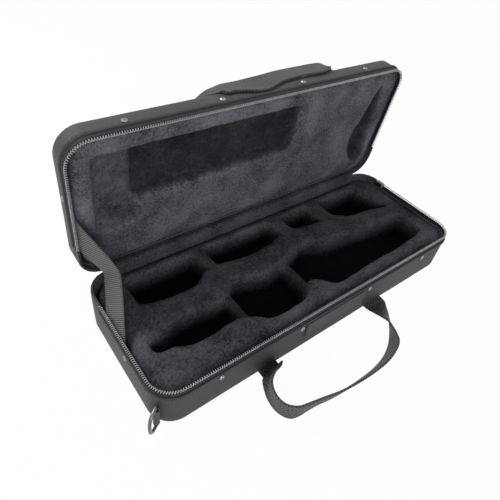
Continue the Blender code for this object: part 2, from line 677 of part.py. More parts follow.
def lid_handle(lid_empty):
    """The handle's two patches on the lid's panel and the loop that folds over the front wall."""
    panel = RIM + LID_DEPTH
    tab_front = -CASE_WIDTH / 2 + LID_TAB_SETBACK
    half = WEB_WIDTH / 2
    for end, word in ENDS:
        x = LID_HANDLE_SHIFT + end * HANDLE_SPAN / 2
        tab = box((x - half, tab_front, panel + GAP),
                  (x + half, tab_front + LID_TAB_LENGTH, panel + GAP + WEB_THICKNESS))
        add("lid_handle_tab_" + word, tab, WEBBING, lid_empty)
    axis = Vector((LID_HANDLE_SHIFT, tab_front - GAP - WEB_THICKNESS / 2,
                   panel + GAP + WEB_THICKNESS / 2))
    empty = pivot("lid_handle_pivot", axis, lid_empty)
    loop = handle(LID_HANDLE_SHARES, WEB_WIDTH, WEB_WIDTH, axis, Vector((0, 0, -1)),
                  Vector((0, -1, 0)))
    add("lid_handle", loop, WEBBING, empty)


def on_open_lid(x, reach, depth):
    """Where a point of the lid lies once it is open: reach from the hinge, depth from the rim."""
    turn = Matrix.Rotation(-OPEN_ANGLE, 3, "X")
    return HINGE + turn @ Vector((x, -reach, depth))


def stay_strap():
    """The slack webbing strap between the left ends of the two halves, with its soft fold."""
    wall = -CASE_LENGTH / 2 + SHELL_WALL + GAP + STAY_THICKNESS / 2
    out_of_lid = on_open_lid(0, 0, 0) - on_open_lid(0, 0, 1)
    down = Vector((0, 0, -1))
    edges = {}
    for edge, side in (("outer", 1), ("inner", -1)):
        half = side * STAY_WIDTH / 2
        lid_reach = STAY_LID_REACH + half
        tray_y = HINGE.y - STAY_TRAY_REACH - half
        lid_end = on_open_lid(wall, lid_reach, LID_PAD_DROP)
        tray_end = Vector((wall, tray_y, BLOCK_HIGH))
        way, inward, back, up = STAY_FOLD_SHARES[edge]
        fold = lid_end.lerp(tray_end, way)
        fold += Vector((inward * STAY_FOLD, back * STAY_SAG, up * STAY_SAG))
        upper, lower = (fold - lid_end).length, (tray_end - fold).length
        along = (tray_end - lid_end).normalized()
        edges[edge] = [lid_end - out_of_lid * STAY_TUCK]
        edges[edge] += led_curve(lid_end, out_of_lid * upper, fold, along * upper, STAY_STEPS)
        edges[edge] += led_curve(fold, along * lower, tray_end, down * lower, STAY_STEPS)[1:]
        edges[edge].append(tray_end + down * STAY_TUCK)
    mesh = ribbon(edges["outer"], edges["inner"], STAY_THICKNESS, STAY_THICKNESS * STAY_EDGE_SHARE)
    shade_round(mesh)
    add("stay_strap", mesh, WEBBING)


def ring_and_tab():
    """The folded tab on the left front corner and the ring that swings in it."""
    corner = Vector((-CASE_LENGTH / 2 + CORNER_RADIUS, -CASE_WIDTH / 2 + CORNER_RADIUS, RING_TAB_RISE))
    outward = Vector((-math.cos(RING_TURN), -math.sin(RING_TURN), 0.0))
    eye_radius = RING_WIRE + GAP
    outer_radius = eye_radius + RING_TAB_LAYER
    axis = corner + outward * (CORNER_RADIUS + GAP + RING_TAB_REACH)
    root = -RING_TAB_REACH
    tail = arc((0.0, 0.0), outer_radius, -125, 125, 12)
    outline = [(root, -RING_TAB_LAYER)] + tail + [(root, RING_TAB_LAYER)]
    eye = arc((0.0, 0.0), eye_radius, 0, 330, 11)
    tab = prism(outline, -RING_TAB_WIDTH / 2, RING_TAB_WIDTH / 2, holes=(eye,))
    place = Matrix.Translation(axis) @ Matrix.Rotation(math.pi + RING_TURN, 4, "Z")
    tab.transform(place)
    add("ring_tab", tab, WEBBING)
    half = RING_HALF_HEIGHT
    points = [(0.0, 0.0, -half), (0.0, 0.0, half)]
    for step in range(1, RING_STEPS):
        angle = math.pi / 2 - math.pi * step / RING_STEPS
        points.append((RING_DEPTH * math.cos(angle) ** RING_SQUARENESS, 0.0, half * math.sin(angle)))
    ring = wire(points, RING_WIRE, closed=True)
    ring.transform(place)
    shade_round(ring)
    add("strap_ring", ring, RING_METAL, pivot("ring_pivot", axis))


def zipper_slider():
    """The slider, parked past the zipper's end at the right, and its hanging pull."""
    front = HINGE.y - ZIP_END + SLIDER_CLEARANCE
    back = front + SLIDER_LENGTH
    x0 = CASE_LENGTH / 2 - COIL_INSET - SLIDER_DEPTH / 2
    x1 = x0 + SLIDER_DEPTH
    low = RIM - ZIP_STAND + GAP
    high = RIM - SLIDER_DROP
    body = bpy.data.objects.new("slider", box((x0, front, low), (x1, back, high), EAR_THICKNESS / 2))
    bpy.context.scene.collection.objects.link(body)
    middle = (front + back) / 2
    axis = Vector((x1 + EAR_REACH - PULL_THICKNESS / 2 - GAP, middle, RIM - PULL_DROP))
    slot = PULL_WIDTH / 2 + GAP
    for end in (-1, 1):
        inner, outer = middle + end * slot, middle + end * (slot + EAR_THICKNESS)
        y0, y1 = sorted((inner, outer))
        ear = box((x1 - EAR_THICKNESS, y0, axis.z - EAR_HEIGHT / 2),
                  (x1 + EAR_REACH, y1, axis.z + EAR_HEIGHT / 2))
        cutter = bpy.data.objects.new("ear", ear)
        CUTTERS.objects.link(cutter)
        cutter.hide_render = True
        cutter.display_type = "WIRE"
        joined = body.modifiers.new("ear", "BOOLEAN")
        joined.operation = "UNION"
        joined.object = cutter
    add("zipper_slider", evaluated_mesh(body), SLIDER_METAL)
    empty = pivot("pull_pivot", axis)
    half = PULL_THICKNESS / 2
    pull = box((axis.x - half, middle - PULL_WIDTH / 2, axis.z - PULL_LENGTH),
               (axis.x + half, middle + PULL_WIDTH / 2, axis.z + half), half * PULL_EDGE_SHARE)
    add("zipper_pull", pull, SLIDER_METAL, empty)


def front_patch():
    """The bare ribbed patch sewn on the tray's front wall."""
    high = level(TRAY, ZIP_STAND + BINDING_HEIGHT + PATCH_DROP)
    patch = box((-PATCH_LENGTH / 2, -CASE_WIDTH / 2 - GAP - PATCH_THICKNESS, high - PATCH_HEIGHT),
                (PATCH_LENGTH / 2, -CASE_WIDTH / 2 - GAP, high), PATCH_THICKNESS * PATCH_EDGE_SHARE)
    add("front_patch", patch, PATCH_FINISH)


clear_scene()
PARTS = collection("clarinet_case")
CUTTERS = collection("cutters")
NYLON = {
    "tray": material("tray_nylon", (0.035, 0.036, 0.038), 0.75),
    "lid": material("lid_nylon", (0.042, 0.043, 0.046), 0.75),
}
PLUSH = material("plush", (0.016, 0.016, 0.018), 0.95)
WEBBING = material("webbing", (0.040, 0.041, 0.044), 0.80)
TAPE_FINISH = material("zipper_tape", (0.10, 0.10, 0.105), 0.80)
COIL_FINISH = material("zipper_coil", (0.16, 0.16, 0.17), 0.35)
BINDING_FINISH = material("binding", (0.030, 0.031, 0.033), 0.80)
RIVET_FINISH = material("rivet_metal", (0.45, 0.45, 0.47), 0.30, 1.0)
RING_METAL = material("ring_metal", (0.12, 0.12, 0.13), 0.35, 1.0)
SLIDER_METAL = material("slider_metal", (0.14, 0.14, 0.15), 0.35, 1.0)
PATCH_FINISH = material("patch_webbing", (0.045, 0.045, 0.048), 0.80)
BOARD = material("board", (0.30, 0.25, 0.19), 0.85)

hinge_pivot = pivot("lid_pivot", HINGE)
rim_pieces(TRAY, "tray", TRAY_DEPTH, None)
rim_pieces(LID, "lid", LID_DEPTH, hinge_pivot)
tray_lining()
lid_lining(hinge_pivot)
front_patch()
tray_handle()
lid_handle(hinge_pivot)
ring_and_tab()
zipper_slider()
hinge_pivot.rotation_euler.x = -OPEN_ANGLE
stay_strap()
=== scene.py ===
"""Visual model of a zipped soft case for a clarinet, standing open on a pale floor."""

import math

import bmesh
import bpy
from mathutils import Matrix, Vector, noise


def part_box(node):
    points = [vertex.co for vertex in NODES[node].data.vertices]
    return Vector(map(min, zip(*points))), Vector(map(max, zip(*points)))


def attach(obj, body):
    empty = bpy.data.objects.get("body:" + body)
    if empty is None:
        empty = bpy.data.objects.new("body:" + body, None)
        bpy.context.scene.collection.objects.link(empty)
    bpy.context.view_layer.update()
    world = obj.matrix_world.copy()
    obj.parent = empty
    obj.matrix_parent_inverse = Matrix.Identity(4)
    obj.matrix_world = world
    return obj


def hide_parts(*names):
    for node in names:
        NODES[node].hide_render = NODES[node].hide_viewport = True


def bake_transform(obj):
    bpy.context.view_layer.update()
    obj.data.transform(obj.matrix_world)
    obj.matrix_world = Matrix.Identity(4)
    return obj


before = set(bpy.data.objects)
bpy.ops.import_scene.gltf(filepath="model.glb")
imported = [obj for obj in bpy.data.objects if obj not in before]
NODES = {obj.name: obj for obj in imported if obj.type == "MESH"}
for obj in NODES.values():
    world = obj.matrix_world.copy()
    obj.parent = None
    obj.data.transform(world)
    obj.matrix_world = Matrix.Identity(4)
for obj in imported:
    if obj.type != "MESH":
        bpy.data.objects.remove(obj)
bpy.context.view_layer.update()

# Case, in metres
LENGTH = 0.370
WIDTH = 0.138
TRAY_DEPTH = 0.046
LID_DEPTH = 0.025
CORNER = 0.022
EDGE = 0.004
WALL = 0.003
OPEN_ANGLE = math.radians(85.0)
GAP = 0.0003
HINGE = Vector((0.0, WIDTH / 2, TRAY_DEPTH))

# Zipper and trim of the rims; a pair of insets places a band's outer and inner faces
ZIP_END = 0.0345
COIL_HEIGHT = 0.0026
COIL_INSET = 0.0012
COIL_PITCH = 0.0020
COIL_HALF_WIDTH = 0.00100
COIL_HALF_HEIGHT = 0.00088
COIL_WIRE = 0.00034
COIL_STEPS = 8
TAPE_HEIGHT = 0.0036
TAPE_INSETS = (0.0002, 0.0018)
ZIP_STAND = COIL_HEIGHT + TAPE_HEIGHT + 2 * GAP
BINDING_HEIGHT = 0.0034
BINDING_INSETS = (-0.0011, -0.0002)
HINGE_BAND_INSETS = (0.0, 0.0020)
SLIDER_ROOM = 0.0113
BAND_SPACING = 0.006
BAND_ROUNDING = 0.12
BAND_SHOULDER = 0.7

# Shell: its folds, its flat panels' insets and the slight waves of its walls
SHELL_FOLD = 0.001
SHELL_LIP = 0.0006
PANEL_INSETS = (0.008, 0.016, 0.030, 0.045)
INNER_PANEL_INSETS = (0.045, 0.012)
WAVE_HEIGHT = 0.00022
WAVE_SCALE = (26, 26, 60)
LOOP_ARC_STEPS = 10
LOOP_STEPS_ALONG = 40
LOOP_STEPS_ACROSS = 14

# Sewing
STITCH_LENGTH = 0.0024
STITCH_GAP = 0.0008
STITCH_RADIUS = 0.0002
RIM_STITCH_INSET = -0.00115
RIM_STITCH_PLACE = 0.55

# Webbing; the section is its upper face, in halves of the width and the thickness
WEB_WIDTH = 0.025
WEB_THICKNESS = 0.0020
WEB_SECTION = ((-1.0, 0.0), (-0.985, 0.62), (-0.95, 0.95), (-0.90, 1.0), (-0.84, 0.88), (-0.5, 0.92),
               (0.0, 0.95), (0.5, 0.92), (0.84, 0.88), (0.90, 1.0), (0.95, 0.95), (0.985, 0.62))
HANDLE_SPAN = 0.139
TRAY_REACH = 0.0541
TRAY_SHIFT = -0.0075
LID_SHIFT = 0.0075
LOW_AXIS_STAND = 0.0036
LOW_AXIS_HEIGHT = 0.0026
LOW_TAB_OUT = 0.0041
LOW_TAB_IN = 0.0014
LOW_TAB_BOTTOM = 0.0012
LOW_TAB_TOP = 0.0040
HIGH_TAB_FRONT = 0.0103
HIGH_TAB_BACK = 0.0283
HIGH_TAB_HEM = 0.002
TAB_STITCH_RADIUS = 0.0003
TAB_STITCH_SHARE = 0.8
GATHER = 0.4
GATHER_STEPS = 26
CURVE_STEPS = 7

# Stay strap; each fold is how far the front or the back edge bulges in, back and up
STAY_WIDTH = 0.035
STAY_THICKNESS = 0.0016
STAY_LID_PLACE = 0.0485
STAY_LID_DEPTH = 0.0050
STAY_TRAY_PLACE = 0.0575
STAY_TRAY_HEIGHT = 0.039
STAY_END = 0.011
STAY_FOLDS = ((0.0160, 0.0, 0.0025), (0.0112, 0.0055, 0.0))
STAY_STEPS = 20

# Pile: how raggedly its painted shade darkens it with depth, and a faint blue added all over that shows as
# the colour of the painted shade in the depths
PAINTED_SHADE_RAGGED = 0.022
PAINTED_SHADE_TINT = (0.0, 0.0004, 0.0022)

# Foam: its net, rounding and swelling, and its roughness as lumps a metre with their height
FOAM_NET = 0.0022
FOAM_GROW = 0.00035
FOAM_SHRINK = 0.0004
FOAM_SMOOTHING = 3
FOAM_ROUGHNESS = ((90, 0.0005), (300, 0.0004))
SWELL_PRESSURE = 4.0
SWELL_CAP = 0.0010
SWELL_FRAMES = 14
TRAY_FOAM = ("tray_floor_pad", "end_block_left", "end_block_right", "back_rail", "front_rail", "spine",
             "partition_left", "partition_middle", "partition_right", "saddle_left", "saddle_right")
LID_FOAM = ("lid_pad", "lid_backing_pad", "lid_recess_step")

# Foam drawn down along the walls
TUCK_FROM = 0.030
TUCK_BACK = 0.045
TUCK_RIGHT = 0.160
TUCK_WIDTH = 0.013
TUCK_DEPTH = 0.0060

# Lining across the hinge; its section is out from the back wall and up from the rim
LINING_INSET = 0.0024
LINING_SIDE = 0.0235
LINING_STEPS = 60
LINING_SECTION = ((0.0, -0.0080), (0.0, -0.0040), (0.0, -0.0008), (-0.0004, 0.0012), (0.0022, 0.0030),
                  (0.0065, 0.0024))
LINING_SKIN = Vector((0.0, 0.0007, -0.0003))

# Bare patch on the front wall
PATCH_LENGTH = 0.078
PATCH_HEIGHT = 0.0185
PATCH_THICKNESS = 0.0010
PATCH_DROP = 0.0010
PATCH_HEM = 0.0015
PATCH_SIDE_HEM = 0.0018
PATCH_STITCH = 0.0022
PATCH_STEPS = 30

# Corner ring and its tab
RING_TURN = math.radians(35.0)
RING_HEIGHT = 0.0168
RING_STAND = 0.0042
RING_HALF_HEIGHT = 0.0131
RING_REACH = 0.0105
RING_WIRE = 0.0014
RING_STEPS = 40
TAB_EYE = 0.0017
TAB_SKIN = 0.0010
TAB_HALF_HEIGHT = 0.0105
TAB_WRAP = 130

# Camera at the photograph's viewing angle, stage and lamps
CAMERA_PLACE = (-0.253691, -0.207344, 0.344157)
CAMERA_TURN = (47.7028, -6.46995, -36.96078)
CAMERA_LENS = 31.8941
CAMERA_SENSOR = 36.0
CAMERA_SHIFT = (0.00447, -0.01831)
CAMERA_NEAREST = 0.01
FLOOR_RADIUS = 6.0
FLOOR_COLOUR = (0.86, 0.86, 0.87, 1.0)
FLOOR_WHITE_SHARE = 0.97
WORLD_COLOUR = (0.97, 0.98, 1.0, 1.0)
WORLD_STRENGTH = 0.22
WHITE = (1.0, 1.0, 1.0, 1.0)
LAMPS = (("key", (-0.45, 0.75, 1.10), 0.5, 13.0), ("fill", (-0.60, -1.15, 0.50), 0.8, 9.0))
LAMP_AIM = Vector((0.0, 0.0, 0.05))

TRAY, LID = -1, 1
CLOSED_TO_OPEN = (Matrix.Translation(HINGE) @ Matrix.Rotation(-OPEN_ANGLE, 4, "X")
                  @ Matrix.Translation(-HINGE))

# Stations of each handle: along in spans, out and up in reaches, and the way across the webbing
TRAY_STATIONS = (
    (-0.500, 0.000, 0.000, (1.00, 0.00, 0.00)), (-0.514, 0.052, 0.268, (0.78, 0.05, 0.62)),
    (-0.554, 0.107, 0.360, (0.52, 0.20, 0.83)), (-0.600, 0.181, 0.428, (0.25, 0.12, 0.96)),
    (-0.644, 0.329, 0.440, (0.08, -0.10, 0.99)), (-0.662, 0.486, 0.436, (-0.05, -0.20, 0.98)),
    (-0.658, 0.634, 0.424, (-0.17, -0.18, 0.97)), (-0.633, 0.754, 0.416, (-0.25, -0.12, 0.96)),
    (-0.583, 0.828, 0.412, (-0.25, 0.05, 0.97)), (-0.522, 0.856, 0.408, (-0.18, 0.14, 0.97)),
    (-0.435, 0.893, 0.404, (-0.10, 0.22, 0.96)), (-0.313, 0.957, 0.404, (-0.03, 0.28, 0.96)),
    (-0.126, 1.000, 0.400, (0.00, 0.30, 0.95)), (0.054, 0.998, 0.400, (0.00, 0.30, 0.95)),
    (0.183, 0.939, 0.400, (-0.05, 0.28, 0.96)), (0.277, 0.837, 0.392, (-0.20, 0.30, 0.93)),
    (0.342, 0.698, 0.360, (-0.42, 0.30, 0.85)), (0.388, 0.570, 0.320, (-0.58, 0.30, 0.75)),
    (0.421, 0.449, 0.288, (-0.68, 0.24, 0.69)), (0.453, 0.301, 0.200, (-0.84, 0.18, 0.51)),
    (0.482, 0.144, 0.090, (-0.96, 0.08, 0.25)), (0.496, 0.061, 0.030, (-0.99, 0.02, 0.08)),
    (0.500, 0.000, 0.000, (-1.00, 0.00, 0.00)),
)
LID_STATIONS = (
    (-0.500, 0.000, 0.000, (1.00, 0.00, 0.00)), (-0.482, -0.006, 0.090, (0.99, 0.02, 0.10)),
    (-0.432, -0.030, 0.230, (0.76, 0.48, 0.42)), (-0.370, -0.090, 0.280, (0.34, 0.85, 0.36)),
    (-0.325, -0.130, 0.290, (0.08, 0.92, 0.32)), (-0.280, -0.150, 0.310, (-0.12, 0.93, 0.27)),
    (-0.191, -0.040, 0.350, (-0.24, 0.95, 0.20)), (-0.047, 0.150, 0.430, (-0.30, 0.95, 0.00)),
    (0.129, -0.120, 0.380, (-0.38, 0.90, 0.12)), (0.327, -0.210, 0.360, (-0.40, 0.90, 0.17)),
    (0.450, -0.160, 0.380, (-0.42, 0.90, 0.14)), (0.545, -0.160, 0.370, (-0.42, 0.88, 0.18)),
    (0.600, -0.170, 0.330, (-0.52, 0.75, 0.38)), (0.618, -0.110, 0.260, (-0.80, 0.35, 0.45)),
    (0.590, -0.050, 0.150, (-0.95, 0.10, 0.25)), (0.535, -0.015, 0.060, (-1.00, 0.00, 0.05)),
    (0.500, 0.000, 0.000, (-1.00, 0.00, 0.00)),
)


# Materials

def new_material(name, roughness, metallic=0.0):
    made = bpy.data.materials.new(name)
    made.use_nodes = True
    shader = made.node_tree.nodes["Principled BSDF"]
    shader.inputs["Roughness"].default_value = roughness
    shader.inputs["Metallic"].default_value = metallic
    return made, made.node_tree, shader


def node(tree, kind, inputs=None, **settings):
    """A node with its settings, and with each input a value or another node's output."""
    made = tree.nodes.new(kind)
    for key, value in settings.items():
        setattr(made, key, value)
    for key, value in (inputs or {}).items():
        if isinstance(value, bpy.types.NodeSocket):
            tree.links.new(value, made.inputs[key])
        else:
            made.inputs[key].default_value = value
    return made


def maths(tree, operation, first, second=0.0):
    return node(tree, "ShaderNodeMath", {0: first, 1: second}, operation=operation).outputs[0]


def object_place(tree):
    return node(tree, "ShaderNodeTexCoord").outputs["Object"]


def weighted_sum(tree, *parts):
    """The sum of values, each times its weight."""
    total = maths(tree, "MULTIPLY", *parts[0])
    for value, weight in parts[1:]:
        total = maths(tree, "ADD", total, maths(tree, "MULTIPLY", value, weight))
    return total


def noise_value(tree, scale, detail=3.0, roughness=0.55, place=None):
    """A noise pattern whose scale is in features a metre."""
    place = place if place is not None else object_place(tree)
    made = node(tree, "ShaderNodeTexNoise", {"Vector": place, "Scale": scale, "Detail": detail,
                                             "Roughness": roughness})
    return made.outputs["Fac"]


def ramp(tree, value, dark, light, low=0.3, high=0.7):
    """A colour between two, as a value goes from low to high."""
    made = node(tree, "ShaderNodeValToRGB", {"Fac": value})
    made.color_ramp.elements[0].position = low
    made.color_ramp.elements[0].color = (*dark, 1.0)
    made.color_ramp.elements[1].position = high
    made.color_ramp.elements[1].color = (*light, 1.0)
    return made.outputs["Color"]


def scaled(colour, factor):
    return tuple(channel * factor for channel in colour)


def finish_surface(tree, shader, colour, height, strength, distance, roughness=None):
    """Links colour, bump height and roughness into the shader."""
    tree.links.new(colour, shader.inputs["Base Color"])
    bump = node(tree, "ShaderNodeBump", {"Height": height, "Strength": strength, "Distance": distance})
    tree.links.new(bump.outputs["Normal"], shader.inputs["Normal"])
    if roughness is not None:
        tree.links.new(roughness, shader.inputs["Roughness"])


def fibre_sheen(shader, sheen, roughness, specular):
    """The soft sheen of fibres and a weak plain gloss."""
    shader.inputs["Sheen Weight"].default_value = sheen
    shader.inputs["Sheen Roughness"].default_value = roughness
    shader.inputs["Specular IOR Level"].default_value = specular


def range_of(tree, value, low, high):
    """A value stretched between two others."""
    made = node(tree, "ShaderNodeMapRange", {"Value": value, "To Min": low, "To Max": high})
    return made.outputs["Result"]


def woven(name, colour, pitch, spread):
    """Plain-woven nylon: threads along the three axes, with soft unevenness and lint."""
    made, tree, shader = new_material(name, 0.6)
    fibre_sheen(shader, 0.04, 0.5, 0.22)
    parts = node(tree, "ShaderNodeSeparateXYZ", {"Vector": object_place(tree)}).outputs
    turns = 2 * math.pi / pitch
    x, y, z = (maths(tree, "SINE", maths(tree, "MULTIPLY", part, turns)) for part in parts)
    weave = maths(tree, "ADD", maths(tree, "MULTIPLY", x, y), maths(tree, "MULTIPLY", y, z))
    weave = maths(tree, "ADD", weave, maths(tree, "MULTIPLY", z, x))
    fine = noise_value(tree, 1500.0, 2.0)
    broad = noise_value(tree, 45.0, 4.0)
    lint = noise_value(tree, 420.0, 2.0, 0.7)
    height = weighted_sum(tree, (weave, 0.25), (fine, 0.5))
    mixed = weighted_sum(tree, (broad, 0.55), (fine, 0.3), (lint, 0.15))
    base = ramp(tree, mixed, scaled(colour, 1 - spread), scaled(colour, 1 + spread))
    finish_surface(tree, shader, base, height, 0.45, 0.0002, range_of(tree, broad, 0.52, 0.72))
    return made


def plush(name, colour, sheen, shaded_height, unshaded_height, shaded_share):
    """Short pile: speckled fibre tips, brushed patches, and painted shade: the colour darkens from the
    unshaded height to the shaded height, down to the shaded share of itself, in the wells and recesses. The
    two heights are in the closed case's frame."""
    made, tree, shader = new_material(name, 0.95)
    fibre_sheen(shader, sheen, 0.4, 0.1)
    shader.inputs["Sheen Tint"].default_value = (0.88, 0.88, 0.94, 1.0)
    tufts = noise_value(tree, 1100.0, 2.0, 0.7)
    clumps = noise_value(tree, 420.0, 2.0, 0.6)
    brushed = noise_value(tree, 30.0, 3.0, 0.6)
    mixed = weighted_sum(tree, (brushed, 0.36), (clumps, 0.3), (tufts, 0.34))
    base = ramp(tree, mixed, scaled(colour, 0.3), scaled(colour, 1.9), 0.39, 0.61)
    # Painted shade: the colour darkens with height in the closed case's frame, with a ragged edge.
    up = node(tree, "ShaderNodeSeparateXYZ", {"Vector": object_place(tree)}).outputs["Z"]
    ragged = weighted_sum(tree, (noise_value(tree, 140.0, 4.0, 0.7), 0.7), (clumps, 0.3))
    uneven = maths(tree, "MULTIPLY", maths(tree, "SUBTRACT", ragged, 0.5), PAINTED_SHADE_RAGGED)
    up = maths(tree, "ADD", up, uneven)
    painted_shade = node(tree, "ShaderNodeMapRange", {"Value": up, "From Min": shaded_height, "From Max": unshaded_height,
                                             "To Min": shaded_share, "To Max": 1.0})
    polish_and_shade = node(tree, "ShaderNodeVectorMath", {0: base, "Scale": painted_shade.outputs["Result"]},
                operation="SCALE")
    # The faint blue added all over shows as the colour of the painted shade in the depths.
    polish_and_shade = node(tree, "ShaderNodeVectorMath", {0: polish_and_shade.outputs["Vector"], 1: PAINTED_SHADE_TINT},
                operation="ADD")
    height = weighted_sum(tree, (tufts, 0.6), (clumps, 0.9))
    finish_surface(tree, shader, polish_and_shade.outputs["Vector"], height, 0.8, 0.0010)
    return made


def webbing(name, colour, rib, slant, column, spread):
    """Ribbed webbing. The map's first value runs across and the second along, both in metres.
    The ribs slant, and turn back at each column where a column's width is given."""
    made, tree, shader = new_material(name, 0.7)
    fibre_sheen(shader, 0.15, 0.5, 0.3)
    across, along, _ = node(tree, "ShaderNodeSeparateXYZ",
                            {"Vector": node(tree, "ShaderNodeUVMap").outputs["UV"]}).outputs
    if column:
        across = maths(tree, "PINGPONG", across, column)
    phase = maths(tree, "ADD", along, maths(tree, "MULTIPLY", across, slant))
    ribs = maths(tree, "SINE", maths(tree, "MULTIPLY", phase, 2 * math.pi / rib))
    ribs = maths(tree, "ADD", maths(tree, "MULTIPLY", ribs, 0.5), 0.5)
    fibre = noise_value(tree, 1400.0, 2.0)
    broad = noise_value(tree, 60.0, 3.0)
    shade = weighted_sum(tree, (ribs, 0.6), (fibre, 0.25), (broad, 0.15))
    base = ramp(tree, shade, scaled(colour, 1 - spread), scaled(colour, 1 + spread), 0.2, 0.8)
    height = weighted_sum(tree, (ribs, 1.0), (fibre, 0.5))
    finish_surface(tree, shader, base, height, 0.8, 0.0004)
    return made


def metal(name, colour, roughness, scratch=0.12):
    """Plated metal, finely rubbed, a little duller in places."""
    made, tree, shader = new_material(name, roughness, 1.0)
    fine = noise_value(tree, 2600.0, 3.0, 0.7)
    broad = noise_value(tree, 260.0, 3.0)
    base = ramp(tree, broad, scaled(colour, 0.72), scaled(colour, 1.15))
    finish_surface(tree, shader, base, fine, scratch, 0.0001,
                   range_of(tree, broad, roughness * 0.8, roughness * 1.5))
    return made


def teeth_plastic(name, colour):
    """Polished monofilament of the coil, brightest where use has polished it."""
    made, tree, shader = new_material(name, 0.3)
    polish_and_shade = noise_value(tree, 300.0, 3.0)
    fine = noise_value(tree, 3000.0, 2.0)
    base = ramp(tree, polish_and_shade, scaled(colour, 0.7), scaled(colour, 1.2))
    finish_surface(tree, shader, base, fine, 0.15, 0.0001, range_of(tree, polish_and_shade, 0.22, 0.42))
    return made


def board(name, colour):
    """Pressed board with long pale and dark fibres."""
    made, tree, shader = new_material(name, 0.85)
    place = node(tree, "ShaderNodeMapping", {"Vector": object_place(tree), "Scale": (0.3, 1.0, 1.0)})
    fibres = noise_value(tree, 500.0, 4.0, 0.7, place.outputs["Vector"])
    base = ramp(tree, fibres, scaled(colour, 0.7), scaled(colour, 1.2))
    finish_surface(tree, shader, base, fibres, 0.3, 0.0003)
    return made


# Geometry

def arc(centre, radius, start, end, steps):
    """Points on an arc between two angles in degrees."""
    points = []
    for step in range(steps + 1):
        angle = math.radians(start + (end - start) * step / steps)
        points.append((centre[0] + radius * math.cos(angle), centre[1] + radius * math.sin(angle)))
    return points


def level(side, depth):
    """Height of a place on one half, by its depth from the mating plane of the rims."""
    return TRAY_DEPTH + side * depth


def smooth_curve(points, steps):
    """Points along a Catmull-Rom curve through the given points."""
    points = [Vector(point) for point in points]
    last = len(points) - 1
    curve = []
    for span in range(last):
        a, b, c, d = (points[min(max(span + shift, 0), last)] for shift in (-1, 0, 1, 2))
        for step in range(steps):
            t = step / steps
            curve.append(0.5 * (2 * b + (c - a) * t + (2 * a - 5 * b + 4 * c - d) * t ** 2
                                + (3 * b - a - 3 * c + d) * t ** 3))
    curve.append(points[-1])
    return curve


def piece(name, mesh, finish, body, nodes=(), open_lid=False):
    """A finished piece that rides on a body; a lid piece is modelled with the lid closed."""
    made = bpy.data.objects.new(name, mesh)
    bpy.context.scene.collection.objects.link(made)
    mesh.materials.clear()
    mesh.materials.append(finish)
    if open_lid:
        made.matrix_world = CLOSED_TO_OPEN
    if body:
        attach(made, body)
    if nodes:
        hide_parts(*nodes)
    return made


def smooth_shade(mesh, angle):
    """Smooth shading, with edges sharper than the angle kept."""
    mesh.shade_smooth()
    mesh.set_sharp_from_angle(angle=math.radians(angle))
    return mesh


def mesh_of(shape, name):
    mesh = bpy.data.meshes.new(name)
    bmesh.ops.recalc_face_normals(shape, faces=shape.faces)
    shape.to_mesh(mesh)
    shape.free()
    return mesh


def loft(name, rings):
    """A skin through equally long closed rings of points, its two ends filled."""
    shape = bmesh.new()
    rows = [[shape.verts.new(point) for point in ring] for ring in rings]
    count = len(rings[0])
    for near, far in zip(rows, rows[1:]):
        for index in range(count):
            after = (index + 1) % count
            shape.faces.new((near[index], near[after], far[after], far[index]))
    shape.faces.new(rows[0])
    shape.faces.new(rows[-1][::-1])
    return mesh_of(shape, name)


def case_loop(inset):
    """The case's outline at an inset, with points along its straight sides."""
    x, y = LENGTH / 2 - inset, WIDTH / 2 - inset
    r = max(CORNER - inset, SHELL_LIP)
    corners = [((x - r, -y + r), -90), ((x - r, y - r), 0), ((-x + r, y - r), 90), ((-x + r, -y + r), 180)]
    counts = (LOOP_STEPS_ACROSS, LOOP_STEPS_ALONG, LOOP_STEPS_ACROSS, LOOP_STEPS_ALONG)
    points = []
    for number, (centre, start) in enumerate(corners):
        points += arc(centre, r, start, start + 90, LOOP_ARC_STEPS)
        following = corners[(number + 1) % 4]
        first = Vector(points[-1])
        last = Vector(arc(following[0], r, following[1], following[1] + 90, 1)[0])
        for step in range(1, counts[number]):
            points.append(tuple(first.lerp(last, step / counts[number])))
    return points


def front_path(inset, left_end, right_end):
    """Round the front of the case from the rear of its left end to the rear of the right one."""
    x, y = LENGTH / 2 - inset, WIDTH / 2 - inset
    r = CORNER - inset
    points = [(-x, HINGE.y - left_end)] + arc((-x + r, -y + r), r, 180, 270, 12)
    return points + arc((x - r, -y + r), r, 270, 360, 12) + [(x, HINGE.y - right_end)]


def back_path(inset, left_end, right_end):
    """Round the back of the case, between the same ends."""
    x, y = LENGTH / 2 - inset, WIDTH / 2 - inset
    r = CORNER - inset
    return ([(-x, HINGE.y - left_end)] + arc((-x + r, y - r), r, 180, 90, 12)
            + arc((x - r, y - r), r, 90, 0, 12) + [(x, HINGE.y - right_end)])


def even(points, spacing):
    """Points an even distance apart along a path."""
    points = [Vector(point) for point in points]
    lengths = [0.0]
    for first, last in zip(points, points[1:]):
        lengths.append(lengths[-1] + (last - first).length)
    count = max(2, round(lengths[-1] / spacing))
    spread = []
    segment = 0
    for step in range(count + 1):
        target = lengths[-1] * step / count
        while segment < len(points) - 2 and lengths[segment + 1] < target:
            segment += 1
        part = (target - lengths[segment]) / (lengths[segment + 1] - lengths[segment])
        spread.append(points[segment].lerp(points[segment + 1], min(max(part, 0.0), 1.0)))
    return spread


def line_inside(mesh):
    """Gives the plush lining to the faces that look towards the case's middle."""
    mesh.materials.append(LINING)
    for face in mesh.polygons:
        inward = Vector((-face.center.x, -face.center.y, 0.0))
        if face.normal.dot(inward.normalized()) > 0.4 and abs(face.normal.z) < 0.7:
            face.material_index = 1


